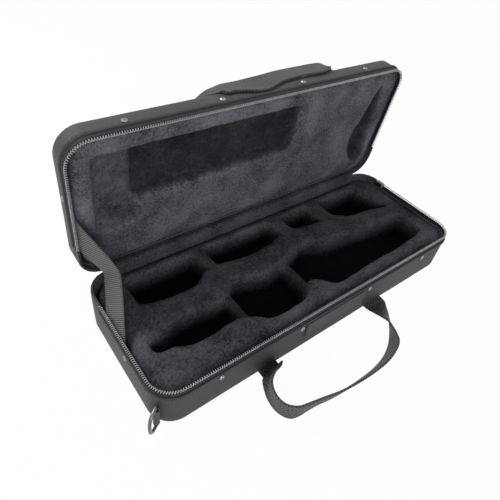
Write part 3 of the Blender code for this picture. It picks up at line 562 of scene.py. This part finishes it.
def shell(side, depth, prefix, finish):
    """One half's fabric-covered shell: thin walls, a rolled rim and softly rounded panel edges."""
    flat = depth - WALL
    profile = [(inset, flat) for inset in INNER_PANEL_INSETS]
    profile += [(WALL + SHELL_FOLD, flat), (WALL, flat - SHELL_FOLD), (WALL, ZIP_STAND + SHELL_LIP),
                (WALL - SHELL_LIP, ZIP_STAND), (SHELL_LIP, ZIP_STAND), (0.0, ZIP_STAND + SHELL_LIP),
                (0.0, ZIP_STAND + BINDING_HEIGHT)]
    wall_start = len(profile)
    reach = depth - EDGE - ZIP_STAND - BINDING_HEIGHT
    profile += [(0.0, ZIP_STAND + BINDING_HEIGHT + reach * share) for share in (0.25, 0.5, 0.75, 1.0)]
    profile += [(EDGE - EDGE * math.cos(angle), depth - EDGE + EDGE * math.sin(angle))
                for angle in (math.radians(degrees) for degrees in (18, 36, 54, 72, 90))]
    panel_start = len(profile)
    profile += [(inset, depth) for inset in PANEL_INSETS]
    rings = []
    for number, (inset, reached) in enumerate(profile):
        ring = []
        for x, y in case_loop(inset):
            way = Vector((x, y, 0.0)).normalized()
            spot = Vector((x * WAVE_SCALE[0], y * WAVE_SCALE[1], reached * WAVE_SCALE[2]))
            wave = WAVE_HEIGHT * noise.noise(spot) if wall_start <= number < panel_start else 0.0
            ring.append((x + way.x * wave, y + way.y * wave, level(side, reached)))
        rings.append(ring)
    mesh = smooth_shade(loft(prefix + "_cover", rings), 50)
    piece(prefix + "_cover", mesh, finish, prefix, (prefix + "_shell",), side == LID)
    line_inside(mesh)


def band_mesh(name, paths, near, far, bulge):
    """A fabric band between two paths and two heights, its outer face softly rounded."""
    rings = []
    for (x0, y0), (x1, y1) in zip(*paths):
        out = (Vector((x0, y0, 0)) - Vector((x1, y1, 0))).normalized()
        middle = (near + far) / 2
        soft = (far - near) * BAND_ROUNDING
        ring = [(x1, y1, near), (x1, y1, middle), (x1, y1, far)]
        for place, share in ((far, 0.0), (far - soft, BAND_SHOULDER), (middle, 1.0),
                             (near + soft, BAND_SHOULDER), (near, 0.0)):
            ring.append((x0 + out.x * bulge * (share - 1), y0 + out.y * bulge * (share - 1), place))
        rings.append(ring)
    return smooth_shade(loft(name, rings), 60)


def spread_pair(path, insets, left_end, right_end):
    """Two paths at two insets, cut into equally many points."""
    first = even(path(insets[0], left_end, right_end), BAND_SPACING)
    count = len(first) - 1
    raw = even(path(insets[1], left_end, right_end), BAND_SPACING / 40)
    second = [raw[round(step * (len(raw) - 1) / count)] for step in range(count + 1)]
    return [tuple(p) for p in first], [tuple(p) for p in second]


def add_band(side, prefix, word, node_word, paths, near, far, bulge, finish):
    """A fabric band on one half, between two depths from the mating plane."""
    name = prefix + word
    mesh = band_mesh(name, paths, level(side, near), level(side, far), bulge)
    piece(name, mesh, finish, prefix, (prefix + node_word,), side == LID)
    return mesh


def tube(name, points, radius, sides=6, closed=False):
    """A round wire through points."""
    line = bpy.data.curves.new(name, "CURVE")
    line.dimensions = "3D"
    line.bevel_depth = radius
    line.bevel_resolution = max(0, sides // 2 - 2)
    line.use_fill_caps = True
    spline = line.splines.new("POLY")
    spline.points.add(len(points) - 1)
    for point, place in zip(spline.points, points):
        point.co = (*place, 1.0)
    spline.use_cyclic_u = closed
    drawn = bpy.data.objects.new(name, line)
    bpy.context.scene.collection.objects.link(drawn)
    bpy.context.view_layer.update()
    mesh = bpy.data.meshes.new_from_object(drawn.evaluated_get(bpy.context.evaluated_depsgraph_get()))
    bpy.data.objects.remove(drawn, do_unlink=True)
    mesh.name = name
    return smooth_shade(mesh, 60)


def coil(side, prefix):
    """The half zipper's coil, wound round its cord, one turn to a tooth."""
    path = even(front_path(COIL_INSET, ZIP_END, ZIP_END), COIL_PITCH / COIL_STEPS)
    points = []
    middle = level(side, COIL_HEIGHT / 2 + GAP / 2)
    for index, place in enumerate(path):
        ahead = path[min(index + 1, len(path) - 1)] - path[max(index - 1, 0)]
        out = Vector((ahead.y, -ahead.x)).normalized()
        turn = 2 * math.pi * index / COIL_STEPS
        reach = COIL_HALF_WIDTH * math.cos(turn)
        points.append((place.x + out.x * reach, place.y + out.y * reach,
                       middle + COIL_HALF_HEIGHT * math.sin(turn)))
    mesh = tube(prefix + "_teeth", points, COIL_WIRE)
    piece(prefix + "_teeth", mesh, COIL_FINISH, prefix, (prefix + "_zipper_coil",),
          side == LID)


def stitches(name, path, length, radius, body, open_lid=False):
    """A row of sewn stitches along a path in space."""
    shape = bmesh.new()
    path = even(path, (length + STITCH_GAP) / 2)
    for first, last in zip(path[::2], path[1::2]):
        way = (last - first).normalized()
        side = way.cross(Vector((0.31, 0.27, 0.91))).normalized()
        other = way.cross(side)
        middle = (first + last) / 2
        ends = [shape.verts.new(middle - way * length / 2), shape.verts.new(middle + way * length / 2)]
        waist = [shape.verts.new(middle + (side * math.cos(a) + other * math.sin(a)) * radius)
                 for a in (k * math.pi / 3 for k in range(6))]
        for index in range(6):
            after = waist[(index + 1) % 6]
            shape.faces.new((ends[0], waist[index], after))
            shape.faces.new((ends[1], after, waist[index]))
    mesh = mesh_of(shape, name)
    mesh.shade_smooth()
    piece(name, mesh, THREAD, body, (), open_lid)


def edge_lengths(edge):
    """How far along the edge each of its points lies."""
    lengths = [0.0]
    for first, second in zip(edge, edge[1:]):
        lengths.append(lengths[-1] + (second - first).length)
    return lengths


def strap_mesh(name, first_edge, second_edge, thickness):
    """Webbing between two edges: a flat section with rolled selvedges. Its map is in metres, across
    from the first edge and along from the last end."""
    profile = WEB_SECTION + tuple((-across, -up) for across, up in WEB_SECTION)
    lengths = [edge_lengths(edge[::-1])[::-1] for edge in (first_edge, second_edge)]
    rings = []
    for index, (first, second) in enumerate(zip(first_edge, second_edge)):
        before, after = max(index - 1, 0), min(index + 1, len(first_edge) - 1)
        centre = (first + second) / 2
        way = first_edge[after] + second_edge[after] - first_edge[before] - second_edge[before]
        across = (second - first) / 2
        normal = way.normalized().cross(across).normalized()
        rings.append([centre + across * s + normal * (u * thickness / 2) for s, u in profile])
    shape = bmesh.new()
    rows = [[shape.verts.new(point) for point in ring] for ring in rings]
    layer = shape.loops.layers.uv.new("UVMap")
    half = (second_edge[0] - first_edge[0]).length / 2
    count = len(profile)
    for row in range(len(rows) - 1):
        for index in range(count):
            after = (index + 1) % count
            face = shape.faces.new((rows[row][index], rows[row][after], rows[row + 1][after],
                                    rows[row + 1][index]))
            spots = ((index, row), (after, row), (after, row + 1), (index, row + 1))
            for corner, (column, place) in zip(face.loops, spots):
                share = (profile[column][0] + 1) / 2
                along = lengths[0][place] * (1 - share) + lengths[1][place] * share
                corner[layer].uv = (share * 2 * half, along)
    for end in (rows[0], rows[-1][::-1]):
        face = shape.faces.new(end)
        for corner in face.loops:
            corner[layer].uv = (0.0, 0.0)
    return smooth_shade(mesh_of(shape, name), 75)


def handle_edges(stations, reach, rise, axis, outward, upward, gather=0.0):
    """The two edges of a handle's webbing. The inner edge is gathered in at the first end."""
    centres, acrosses = [], []
    for along, out, up, across in stations:
        centres.append(axis + Vector((along * HANDLE_SPAN, 0, 0)) + outward * (out * reach)
                       + upward * (up * rise))
        acrosses.append(Vector((across[0], 0, 0)) + outward * across[1] + upward * across[2])
    centres = smooth_curve(centres, CURVE_STEPS)
    acrosses = [across.normalized() for across in smooth_curve(acrosses, CURVE_STEPS)]
    half = WEB_WIDTH / 2
    second = []
    for index, (centre, across) in enumerate(zip(centres, acrosses)):
        near_end = max(0.0, 1.0 - index / GATHER_STEPS)
        second.append(centre + across * half * (1.0 - gather * near_end ** 2))
    return [c - a * half for c, a in zip(centres, acrosses)], second


def flat_webbing(name, low, high, body, node_name, open_lid=False):
    """A short sewn patch of handle webbing between two corners, its ribs along Y."""
    across = Vector((high[0] - low[0], 0, 0))
    middle = (low[2] + high[2]) / 2
    count = 10
    first = [Vector((low[0], low[1] + (high[1] - low[1]) * k / count, middle)) for k in range(count + 1)]
    second = [point + across for point in first]
    mesh = strap_mesh(name, first, second, high[2] - low[2])
    piece(name, mesh, HANDLE_WEB, body, (node_name,), open_lid)


def led_curve(start, start_way, end, end_way, steps):
    """Points on a Hermite curve that leaves and arrives in the given ways."""
    points = []
    for step in range(steps + 1):
        t = step / steps
        points.append((2 * t ** 3 - 3 * t ** 2 + 1) * start + (t ** 3 - 2 * t ** 2 + t) * start_way
                      + (3 * t ** 2 - 2 * t ** 3) * end + (t ** 3 - t ** 2) * end_way)
    return points


def swell(made):
    """Blows a soft form up a little against its cloth cover, with each point's move capped."""
    rest = [corner.co.copy() for corner in made.data.vertices]
    cover = made.modifiers.new("cover", "CLOTH")
    cover.settings.quality = 4
    cover.settings.use_pressure = True
    cover.settings.uniform_pressure_force = SWELL_PRESSURE
    cover.settings.effector_weights.gravity = 0.0
    cover.point_cache.frame_start = 1
    cover.point_cache.frame_end = SWELL_FRAMES
    for step in range(1, SWELL_FRAMES + 1):
        bpy.context.scene.frame_set(step)
    evaluated = made.evaluated_get(bpy.context.evaluated_depsgraph_get())
    places = [corner.co.copy() for corner in evaluated.to_mesh().vertices]
    evaluated.to_mesh_clear()
    made.modifiers.remove(cover)
    bpy.context.scene.frame_set(1)
    for corner, before, after in zip(made.data.vertices, rest, places):
        move = after - before
        if move.length > SWELL_CAP:
            move = move.normalized() * SWELL_CAP
        corner.co = before + move


def wall_distance(place):
    """How far a place inside the case is from the walls' inner faces."""
    radius = CORNER - WALL
    x = abs(place.x) - (LENGTH / 2 - CORNER)
    y = abs(place.y) - (WIDTH / 2 - CORNER)
    outside = math.hypot(max(x, 0.0), max(y, 0.0))
    return radius - outside - min(max(x, y), 0.0)


def joined_blocks(name, node_names):
    """One mesh of all the named blocks, each grown a little so that neighbours overlap."""
    joined = bmesh.new()
    for node_name in node_names:
        block = bmesh.new()
        block.from_mesh(NODES[node_name].data)
        bmesh.ops.remove_doubles(block, verts=block.verts, dist=0.00002)
        block.normal_update()
        for corner in block.verts:
            corner.co += corner.normal * FOAM_GROW
        grown = bpy.data.meshes.new("grown")
        block.to_mesh(grown)
        block.free()
        joined.from_mesh(grown)
        bpy.data.meshes.remove(grown)
    mesh = bpy.data.meshes.new(name)
    joined.to_mesh(mesh)
    joined.free()
    return mesh


def skinned(mesh):
    """One even skin over a mesh of overlapping blocks."""
    raw = bpy.data.objects.new(mesh.name + "_raw", mesh)
    bpy.context.scene.collection.objects.link(raw)
    net = raw.modifiers.new("net", "REMESH")
    net.mode = "VOXEL"
    net.voxel_size = FOAM_NET
    bpy.context.view_layer.update()
    skin = bpy.data.meshes.new_from_object(raw.evaluated_get(bpy.context.evaluated_depsgraph_get()))
    bpy.data.objects.remove(raw, do_unlink=True)
    return skin


def round_off(soft, on_lid):
    """Rounds the shoulders of a skin and tucks the tray's foam down along the walls."""
    shape = bmesh.new()
    shape.from_mesh(soft)
    for _ in range(FOAM_SMOOTHING):
        bmesh.ops.smooth_vert(shape, verts=shape.verts, factor=0.5, use_axis_x=True, use_axis_y=True,
                              use_axis_z=True)
    shape.normal_update()
    for corner in shape.verts:
        corner.co -= corner.normal * FOAM_SHRINK
        place = corner.co
        if not on_lid and place.z > TUCK_FROM and place.y < TUCK_BACK and place.x < TUCK_RIGHT:
            near_wall = max(0.0, 1.0 - wall_distance(place) / TUCK_WIDTH)
            corner.co.z -= TUCK_DEPTH * near_wall ** 2
    shape.to_mesh(soft)
    shape.free()


def roughen(soft):
    """Uneven pile over a soft form."""
    shape = bmesh.new()
    shape.from_mesh(soft)
    shape.normal_update()
    for corner in shape.verts:
        rough = sum(noise.noise(corner.co * scale) * height for scale, height in FOAM_ROUGHNESS)
        corner.co += corner.normal * rough
    shape.to_mesh(soft)
    shape.free()
    soft.shade_smooth()


def padded_form(name, node_names, finish, body):
    """A plush-covered foam form in the place of one or more blocks, with rounded shoulders and
    uneven pile. Blocks that stand together are covered by one skin."""
    on_lid = body == "lid"
    mesh = joined_blocks(name, node_names)
    if on_lid:
        mesh.transform(CLOSED_TO_OPEN.inverted())
    soft = skinned(mesh)
    round_off(soft, on_lid)
    made = piece(name, soft, finish, "", node_names, on_lid)
    swell(made)
    roughen(soft)
    finer = made.modifiers.new("finer", "SUBSURF")
    finer.levels = 1
    finer.render_levels = 1
    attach(made, body)


# Finishes

# One nylon in a shaded and a lit copy: the tray's painted darker, the lid's painted lighter.
TRAY_NYLON_PAINTED_DARKER = woven("tray_nylon_painted_darker", (0.046, 0.047, 0.049), 0.0011, 0.3)
LID_NYLON_PAINTED_LIGHTER = woven("lid_nylon_painted_lighter", (0.064, 0.066, 0.068), 0.0011, 0.28)
BINDING = woven("rim_binding_weave", (0.042, 0.043, 0.046), 0.0008, 0.3)
TAPE = woven("zipper_tape_weave", (0.018, 0.018, 0.020), 0.0007, 0.3)
# The plush's last three values set its painted shade: the shaded height, the unshaded height and the share
# of its colour kept in full shade; the lining's share of 1 leaves it unshaded.
PLUSH = plush("case_plush", (0.066, 0.065, 0.073), 0.05, 0.0135, 0.034, 0.012)
# The lid's plush is a copy of the case's plush painted lighter, as if more light falls on the pad; its
# recesses get painted shade.
LID_PLUSH_PAINTED_LIGHTER = plush("lid_plush_painted_lighter", (0.104, 0.102, 0.114), 0.08, 0.0625, 0.0515, 0.20)
LINING = plush("wall_lining", (0.056, 0.056, 0.063), 0.06, -0.10, -0.05, 1.0)
HANDLE_WEB = webbing("handle_webbing", (0.048, 0.049, 0.051), 0.0030, 0.8, 0.0050, 0.85)
STAY_WEB = webbing("stay_webbing", (0.102, 0.104, 0.106), 0.0016, 0.70, 0.0, 0.8)
PATCH_WEB = webbing("patch_ribs", (0.055, 0.056, 0.059), 0.0016, 0.0, 0.0, 0.2)
THREAD = woven("sewing_thread", (0.060, 0.061, 0.064), 0.0004, 0.2)
COIL_FINISH = teeth_plastic("coil_monofilament", (0.40, 0.40, 0.415))
RIVET_STEEL = metal("rivet_steel", (0.30, 0.30, 0.31), 0.30)
RING_DARK = metal("ring_dark_plate", (0.16, 0.16, 0.17), 0.28)
BOARD = board("lining_board", (0.30, 0.25, 0.19))


# Sub-parts

def dress_hardware():
    """Finishes of the solids that show as they are, and of the boards under the pads."""
    for node_name, made in NODES.items():
        if "_rivet_" in node_name:
            finish = RIVET_STEEL
        elif node_name in ("zipper_slider", "zipper_pull"):
            finish = RING_DARK
        elif node_name.endswith("_board"):
            finish = BOARD
        else:
            continue
        made.data.materials.clear()
        made.data.materials.append(finish)


def add_half(side, prefix, depth, cover):
    """One half's shell with its coil, tape, binding, hinge fabric and rim stitches."""
    shell(side, depth, prefix, cover)
    coil(side, prefix)
    near = COIL_HEIGHT + GAP
    paths = spread_pair(front_path, TAPE_INSETS, ZIP_END, ZIP_END)
    add_band(side, prefix, "_tape", "_zipper_tape", paths, near, near + TAPE_HEIGHT, 0.0003, TAPE)
    paths = spread_pair(front_path, BINDING_INSETS, ZIP_END, ZIP_END)
    add_band(side, prefix, "_binding", "_rim_binding", paths, ZIP_STAND, ZIP_STAND + BINDING_HEIGHT,
             0.0005, BINDING)
    right_end = ZIP_END - (SLIDER_ROOM if side == TRAY else GAP)
    paths = spread_pair(back_path, HINGE_BAND_INSETS, ZIP_END - GAP, right_end)
    mesh = add_band(side, prefix, "_hinge_fabric", "_hinge_band", paths, GAP / 2, ZIP_STAND - GAP,
                    0.0004, BINDING)
    line_inside(mesh)
    height = level(side, ZIP_STAND + BINDING_HEIGHT * RIM_STITCH_PLACE)
    row = [Vector((x, y, height)) for x, y in front_path(RIM_STITCH_INSET, ZIP_END, ZIP_END)]
    stitches(prefix + "_rim_stitches", row, STITCH_LENGTH, STITCH_RADIUS, prefix, side == LID)


def add_hinge_lining():
    """Plush across the hinge, from inside the tray's back wall to inside the lid's."""
    back = WIDTH / 2 - LINING_INSET
    reach = LENGTH - 2 * LINING_SIDE
    rows = []
    for step in range(LINING_STEPS + 1):
        x = -LENGTH / 2 + LINING_SIDE + reach * step / LINING_STEPS
        ring = [Vector((x, back + out, TRAY_DEPTH + up)) for out, up in LINING_SECTION]
        rows.append(ring + [point + LINING_SKIN for point in ring[::-1]])
    mesh = smooth_shade(loft("hinge_lining", rows), 80)
    lining = piece("hinge_lining", mesh, PLUSH, "")
    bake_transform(lining)


def add_handles():
    """The low handle on the tray's front wall and the high one on the lid's outer face."""
    axis = Vector((TRAY_SHIFT, -WIDTH / 2 - GAP - LOW_AXIS_STAND - GAP - WEB_THICKNESS / 2,
                   LOW_AXIS_HEIGHT))
    first, second = handle_edges(TRAY_STATIONS, TRAY_REACH, WEB_WIDTH, axis, Vector((0, -1, 0)),
                                 Vector((0, 0, 1)), GATHER)
    mesh = strap_mesh("carry_handle_low", first, second, WEB_THICKNESS)
    piece("carry_handle_low", mesh, HANDLE_WEB, "tray_handle", ("tray_handle",))
    axis = Vector((LID_SHIFT, -WIDTH / 2 + HIGH_TAB_FRONT - GAP - WEB_THICKNESS / 2,
                   TRAY_DEPTH + LID_DEPTH + GAP + WEB_THICKNESS / 2))
    first, second = handle_edges(LID_STATIONS, WEB_WIDTH, WEB_WIDTH, axis, Vector((0, 0, -1)),
                                 Vector((0, -1, 0)))
    mesh = strap_mesh("carry_handle_high", first, second, WEB_THICKNESS)
    piece("carry_handle_high", mesh, HANDLE_WEB, "lid_handle", ("lid_handle",), True)


def add_handle_tabs(end, word):
    """The sewn ends of both handles on one side; the low left one is gathered with its handle."""
    half = WEB_WIDTH / 2
    x = TRAY_SHIFT + end * HANDLE_SPAN / 2
    inner = x + half * (1.0 - (GATHER if end < 0 else 0.0))
    flat_webbing("low_tab_" + word, (x - half, -WIDTH / 2 - GAP - LOW_TAB_OUT, LOW_TAB_BOTTOM),
                 (inner, -WIDTH / 2 + LOW_TAB_IN, LOW_TAB_TOP), "tray", "tray_handle_tab_" + word)
    x = LID_SHIFT + end * HANDLE_SPAN / 2
    top = TRAY_DEPTH + LID_DEPTH + GAP
    near, far = -WIDTH / 2 + HIGH_TAB_FRONT, -WIDTH / 2 + HIGH_TAB_BACK
    flat_webbing("high_tab_" + word, (x - half, near, top), (x + half, far, top + WEB_THICKNESS), "lid",
                 "lid_handle_tab_" + word, True)
    top += WEB_THICKNESS
    reach = half * TAB_STITCH_SHARE
    corners = [Vector((x + across, y, top)) for across, y in (
        (-reach, near + HIGH_TAB_HEM), (reach, near + HIGH_TAB_HEM),
        (reach, far - HIGH_TAB_HEM), (-reach, far - HIGH_TAB_HEM))]
    row = [corners[index] for index in (0, 1, 2, 3, 0, 2, 3, 1)]
    stitches("high_tab_stitches_" + word, row, STITCH_LENGTH, TAB_STITCH_RADIUS, "lid", True)


def add_stay_strap():
    """The strap between the left ends, folded where it leaves the lid and falls to the tray."""
    wall = -LENGTH / 2 + WALL + GAP + STAY_THICKNESS / 2
    turn = Matrix.Rotation(-OPEN_ANGLE, 3, "X")
    out_of_lid = turn @ Vector((0, 0, -1))
    down = Vector((0, 0, -1))
    edges, lid_ends, tray_ends = [], [], []
    for half, bulge in ((STAY_WIDTH / 2, STAY_FOLDS[0]), (-STAY_WIDTH / 2, STAY_FOLDS[1])):
        lid_end = HINGE + turn @ Vector((wall, -(STAY_LID_PLACE + half), STAY_LID_DEPTH))
        tray_end = Vector((wall, HINGE.y - STAY_TRAY_PLACE - half, STAY_TRAY_HEIGHT))
        fold = lid_end.lerp(tray_end, 0.5) + Vector(bulge)
        upper, lower = (fold - lid_end).length, (tray_end - fold).length
        along = (tray_end - lid_end).normalized()
        edge = [lid_end - out_of_lid * STAY_END]
        edge += led_curve(lid_end, out_of_lid * upper * 0.8, fold, along * upper * 0.5, STAY_STEPS)
        edge += led_curve(fold, along * lower * 0.4, tray_end, down * lower * 0.4, STAY_STEPS)[1:]
        edge.append(tray_end + down * STAY_END)
        edges.append(edge)
        lid_ends.append(lid_end)
        tray_ends.append(tray_end)
    mesh = strap_mesh("stay_webbing_strap", edges[0], edges[1], STAY_THICKNESS)
    stay = piece("stay_webbing_strap", mesh, STAY_WEB, "", ("stay_strap",))
    lid_end = (lid_ends[0] + lid_ends[1]) / 2
    tray_end = (tray_ends[0] + tray_ends[1]) / 2
    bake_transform(stay)


def add_patch():
    """The bare ribbed patch on the front wall, with its sewn edge."""
    high = level(TRAY, ZIP_STAND + BINDING_HEIGHT + PATCH_DROP)
    low = high - PATCH_HEIGHT
    front = -WIDTH / 2 - GAP - PATCH_THICKNESS / 2
    first = [Vector((-PATCH_LENGTH / 2 + PATCH_LENGTH * k / PATCH_STEPS, front, low))
             for k in range(PATCH_STEPS + 1)]
    second = [point + Vector((0, 0, high - low)) for point in first]
    mesh = strap_mesh("bare_patch", first, second, PATCH_THICKNESS)
    piece("bare_patch", mesh, PATCH_WEB, "tray", ("front_patch",))
    x, y = PATCH_LENGTH / 2 - PATCH_SIDE_HEM, front - PATCH_THICKNESS / 2
    lower, upper = low + PATCH_HEM, high - PATCH_HEM
    row = [Vector((-x, y, lower)), Vector((x, y, lower)), Vector((x, y, upper)), Vector((-x, y, upper)),
           Vector((-x, y, lower))]
    stitches("patch_stitches", row, PATCH_STITCH, STITCH_RADIUS, "tray")


def add_ring():
    """The strap ring at the left front corner, straight on one side, and its folded tab."""
    outward = Vector((-math.cos(RING_TURN), -math.sin(RING_TURN), 0.0))
    corner = Vector((-LENGTH / 2 + CORNER, -WIDTH / 2 + CORNER, RING_HEIGHT))
    axis = corner + outward * (CORNER + GAP + RING_STAND)
    place = Matrix.Translation(axis) @ Matrix.Rotation(math.pi + RING_TURN, 4, "Z")
    points = [Vector((0.0, 0.0, share * RING_HALF_HEIGHT)) for share in (-1.0, -0.5, 0.0, 0.5, 1.0)]
    for step in range(1, RING_STEPS):
        angle = math.pi / 2 - math.pi * step / RING_STEPS
        points.append(Vector((RING_REACH * math.cos(angle) ** 0.5, 0.0, RING_HALF_HEIGHT * math.sin(angle))))
    mesh = tube("corner_ring", points, RING_WIRE, 12, True)
    mesh.transform(place)
    piece("corner_ring", mesh, RING_DARK, "strap_ring", ("strap_ring",))
    wrap = arc((0.0, 0.0), TAB_EYE + TAB_SKIN / 2, -TAB_WRAP, TAB_WRAP, 24)
    loop = [(-RING_STAND, -TAB_SKIN / 2)] + wrap + [(-RING_STAND, TAB_SKIN / 2)]
    first = [place @ Vector((x, y, -TAB_HALF_HEIGHT)) for x, y in loop]
    second = [place @ Vector((x, y, TAB_HALF_HEIGHT)) for x, y in loop]
    mesh = strap_mesh("ring_webbing_tab", first, second, TAB_SKIN)
    piece("ring_webbing_tab", mesh, HANDLE_WEB, "tray", ("ring_tab",))


dress_hardware()
add_half(TRAY, "tray", TRAY_DEPTH, TRAY_NYLON_PAINTED_DARKER)
add_half(LID, "lid", LID_DEPTH, LID_NYLON_PAINTED_LIGHTER)
add_hinge_lining()
padded_form("tray_wells_plush", TRAY_FOAM, PLUSH, "tray")
padded_form("lid_pad_plush", LID_FOAM, LID_PLUSH_PAINTED_LIGHTER, "lid")
add_handles()
add_handle_tabs(-1, "left")
add_handle_tabs(1, "right")
add_stay_strap()
add_patch()
add_ring()


# Camera, floor, backdrop and light

def add_camera():
    camera = bpy.data.cameras.new("camera")
    camera.sensor_width = CAMERA_SENSOR
    camera.lens = CAMERA_LENS
    camera.shift_x, camera.shift_y = CAMERA_SHIFT
    camera.clip_start = CAMERA_NEAREST
    view = bpy.data.objects.new("camera", camera)
    view.location = CAMERA_PLACE
    view.rotation_euler = [math.radians(angle) for angle in CAMERA_TURN]
    bpy.context.scene.collection.objects.link(view)
    bpy.context.scene.camera = view


def seen_share(tree):
    """1 where the camera sees a surface itself, in a mirror or through glass, and 0 elsewhere."""
    path = node(tree, "ShaderNodeLightPath")
    seen = maths(tree, "MAXIMUM", path.outputs["Is Camera Ray"], path.outputs["Is Glossy Ray"])
    return maths(tree, "MAXIMUM", seen, path.outputs["Is Transmission Ray"])


def floor_finish():
    """A pale floor that looks white but lights the object only as a plain surface."""
    made = bpy.data.materials.new("pale_floor")
    made.use_nodes = True
    tree = made.node_tree
    tree.nodes.clear()
    lit = node(tree, "ShaderNodeBsdfDiffuse", {"Color": FLOOR_COLOUR})
    white = node(tree, "ShaderNodeEmission", {"Color": WHITE, "Strength": 1.0})
    share = maths(tree, "MULTIPLY", seen_share(tree), FLOOR_WHITE_SHARE)
    mixed = node(tree, "ShaderNodeMixShader", {0: share, 1: lit.outputs[0], 2: white.outputs[0]})
    node(tree, "ShaderNodeOutputMaterial", {"Surface": mixed.outputs[0]})
    return made


def add_floor():
    ground = bmesh.new()
    bmesh.ops.create_circle(ground, cap_ends=True, segments=64, radius=FLOOR_RADIUS)
    floor = bpy.data.objects.new("pale_floor", mesh_of(ground, "pale_floor"))
    floor.data.materials.append(floor_finish())
    bpy.context.scene.collection.objects.link(floor)
    floor.location.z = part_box("tray_shell")[0].z


def add_world():
    """A soft even sky that looks white."""
    world = bpy.data.worlds.new("studio")
    bpy.context.scene.world = world
    world.use_nodes = True
    tree = world.node_tree
    tree.nodes.clear()
    soft = node(tree, "ShaderNodeBackground", {"Color": WORLD_COLOUR, "Strength": WORLD_STRENGTH})
    white = node(tree, "ShaderNodeBackground", {"Color": WHITE, "Strength": 1.0})
    mixed = node(tree, "ShaderNodeMixShader", {0: seen_share(tree), 1: soft.outputs[0],
                                               2: white.outputs[0]})
    node(tree, "ShaderNodeOutputWorld", {"Surface": mixed.outputs[0]})


def add_lamp(name, place, size, power):
    light = bpy.data.lights.new(name, "AREA")
    light.energy = power
    light.size = size
    lamp = bpy.data.objects.new(name, light)
    bpy.context.scene.collection.objects.link(lamp)
    lamp.location = place
    lamp.rotation_euler = (LAMP_AIM - Vector(place)).to_track_quat("-Z", "Y").to_euler()


add_camera()
add_floor()
add_world()
for lamp in LAMPS:
    add_lamp(*lamp)

bpy.context.scene.view_settings.view_transform = "Standard"
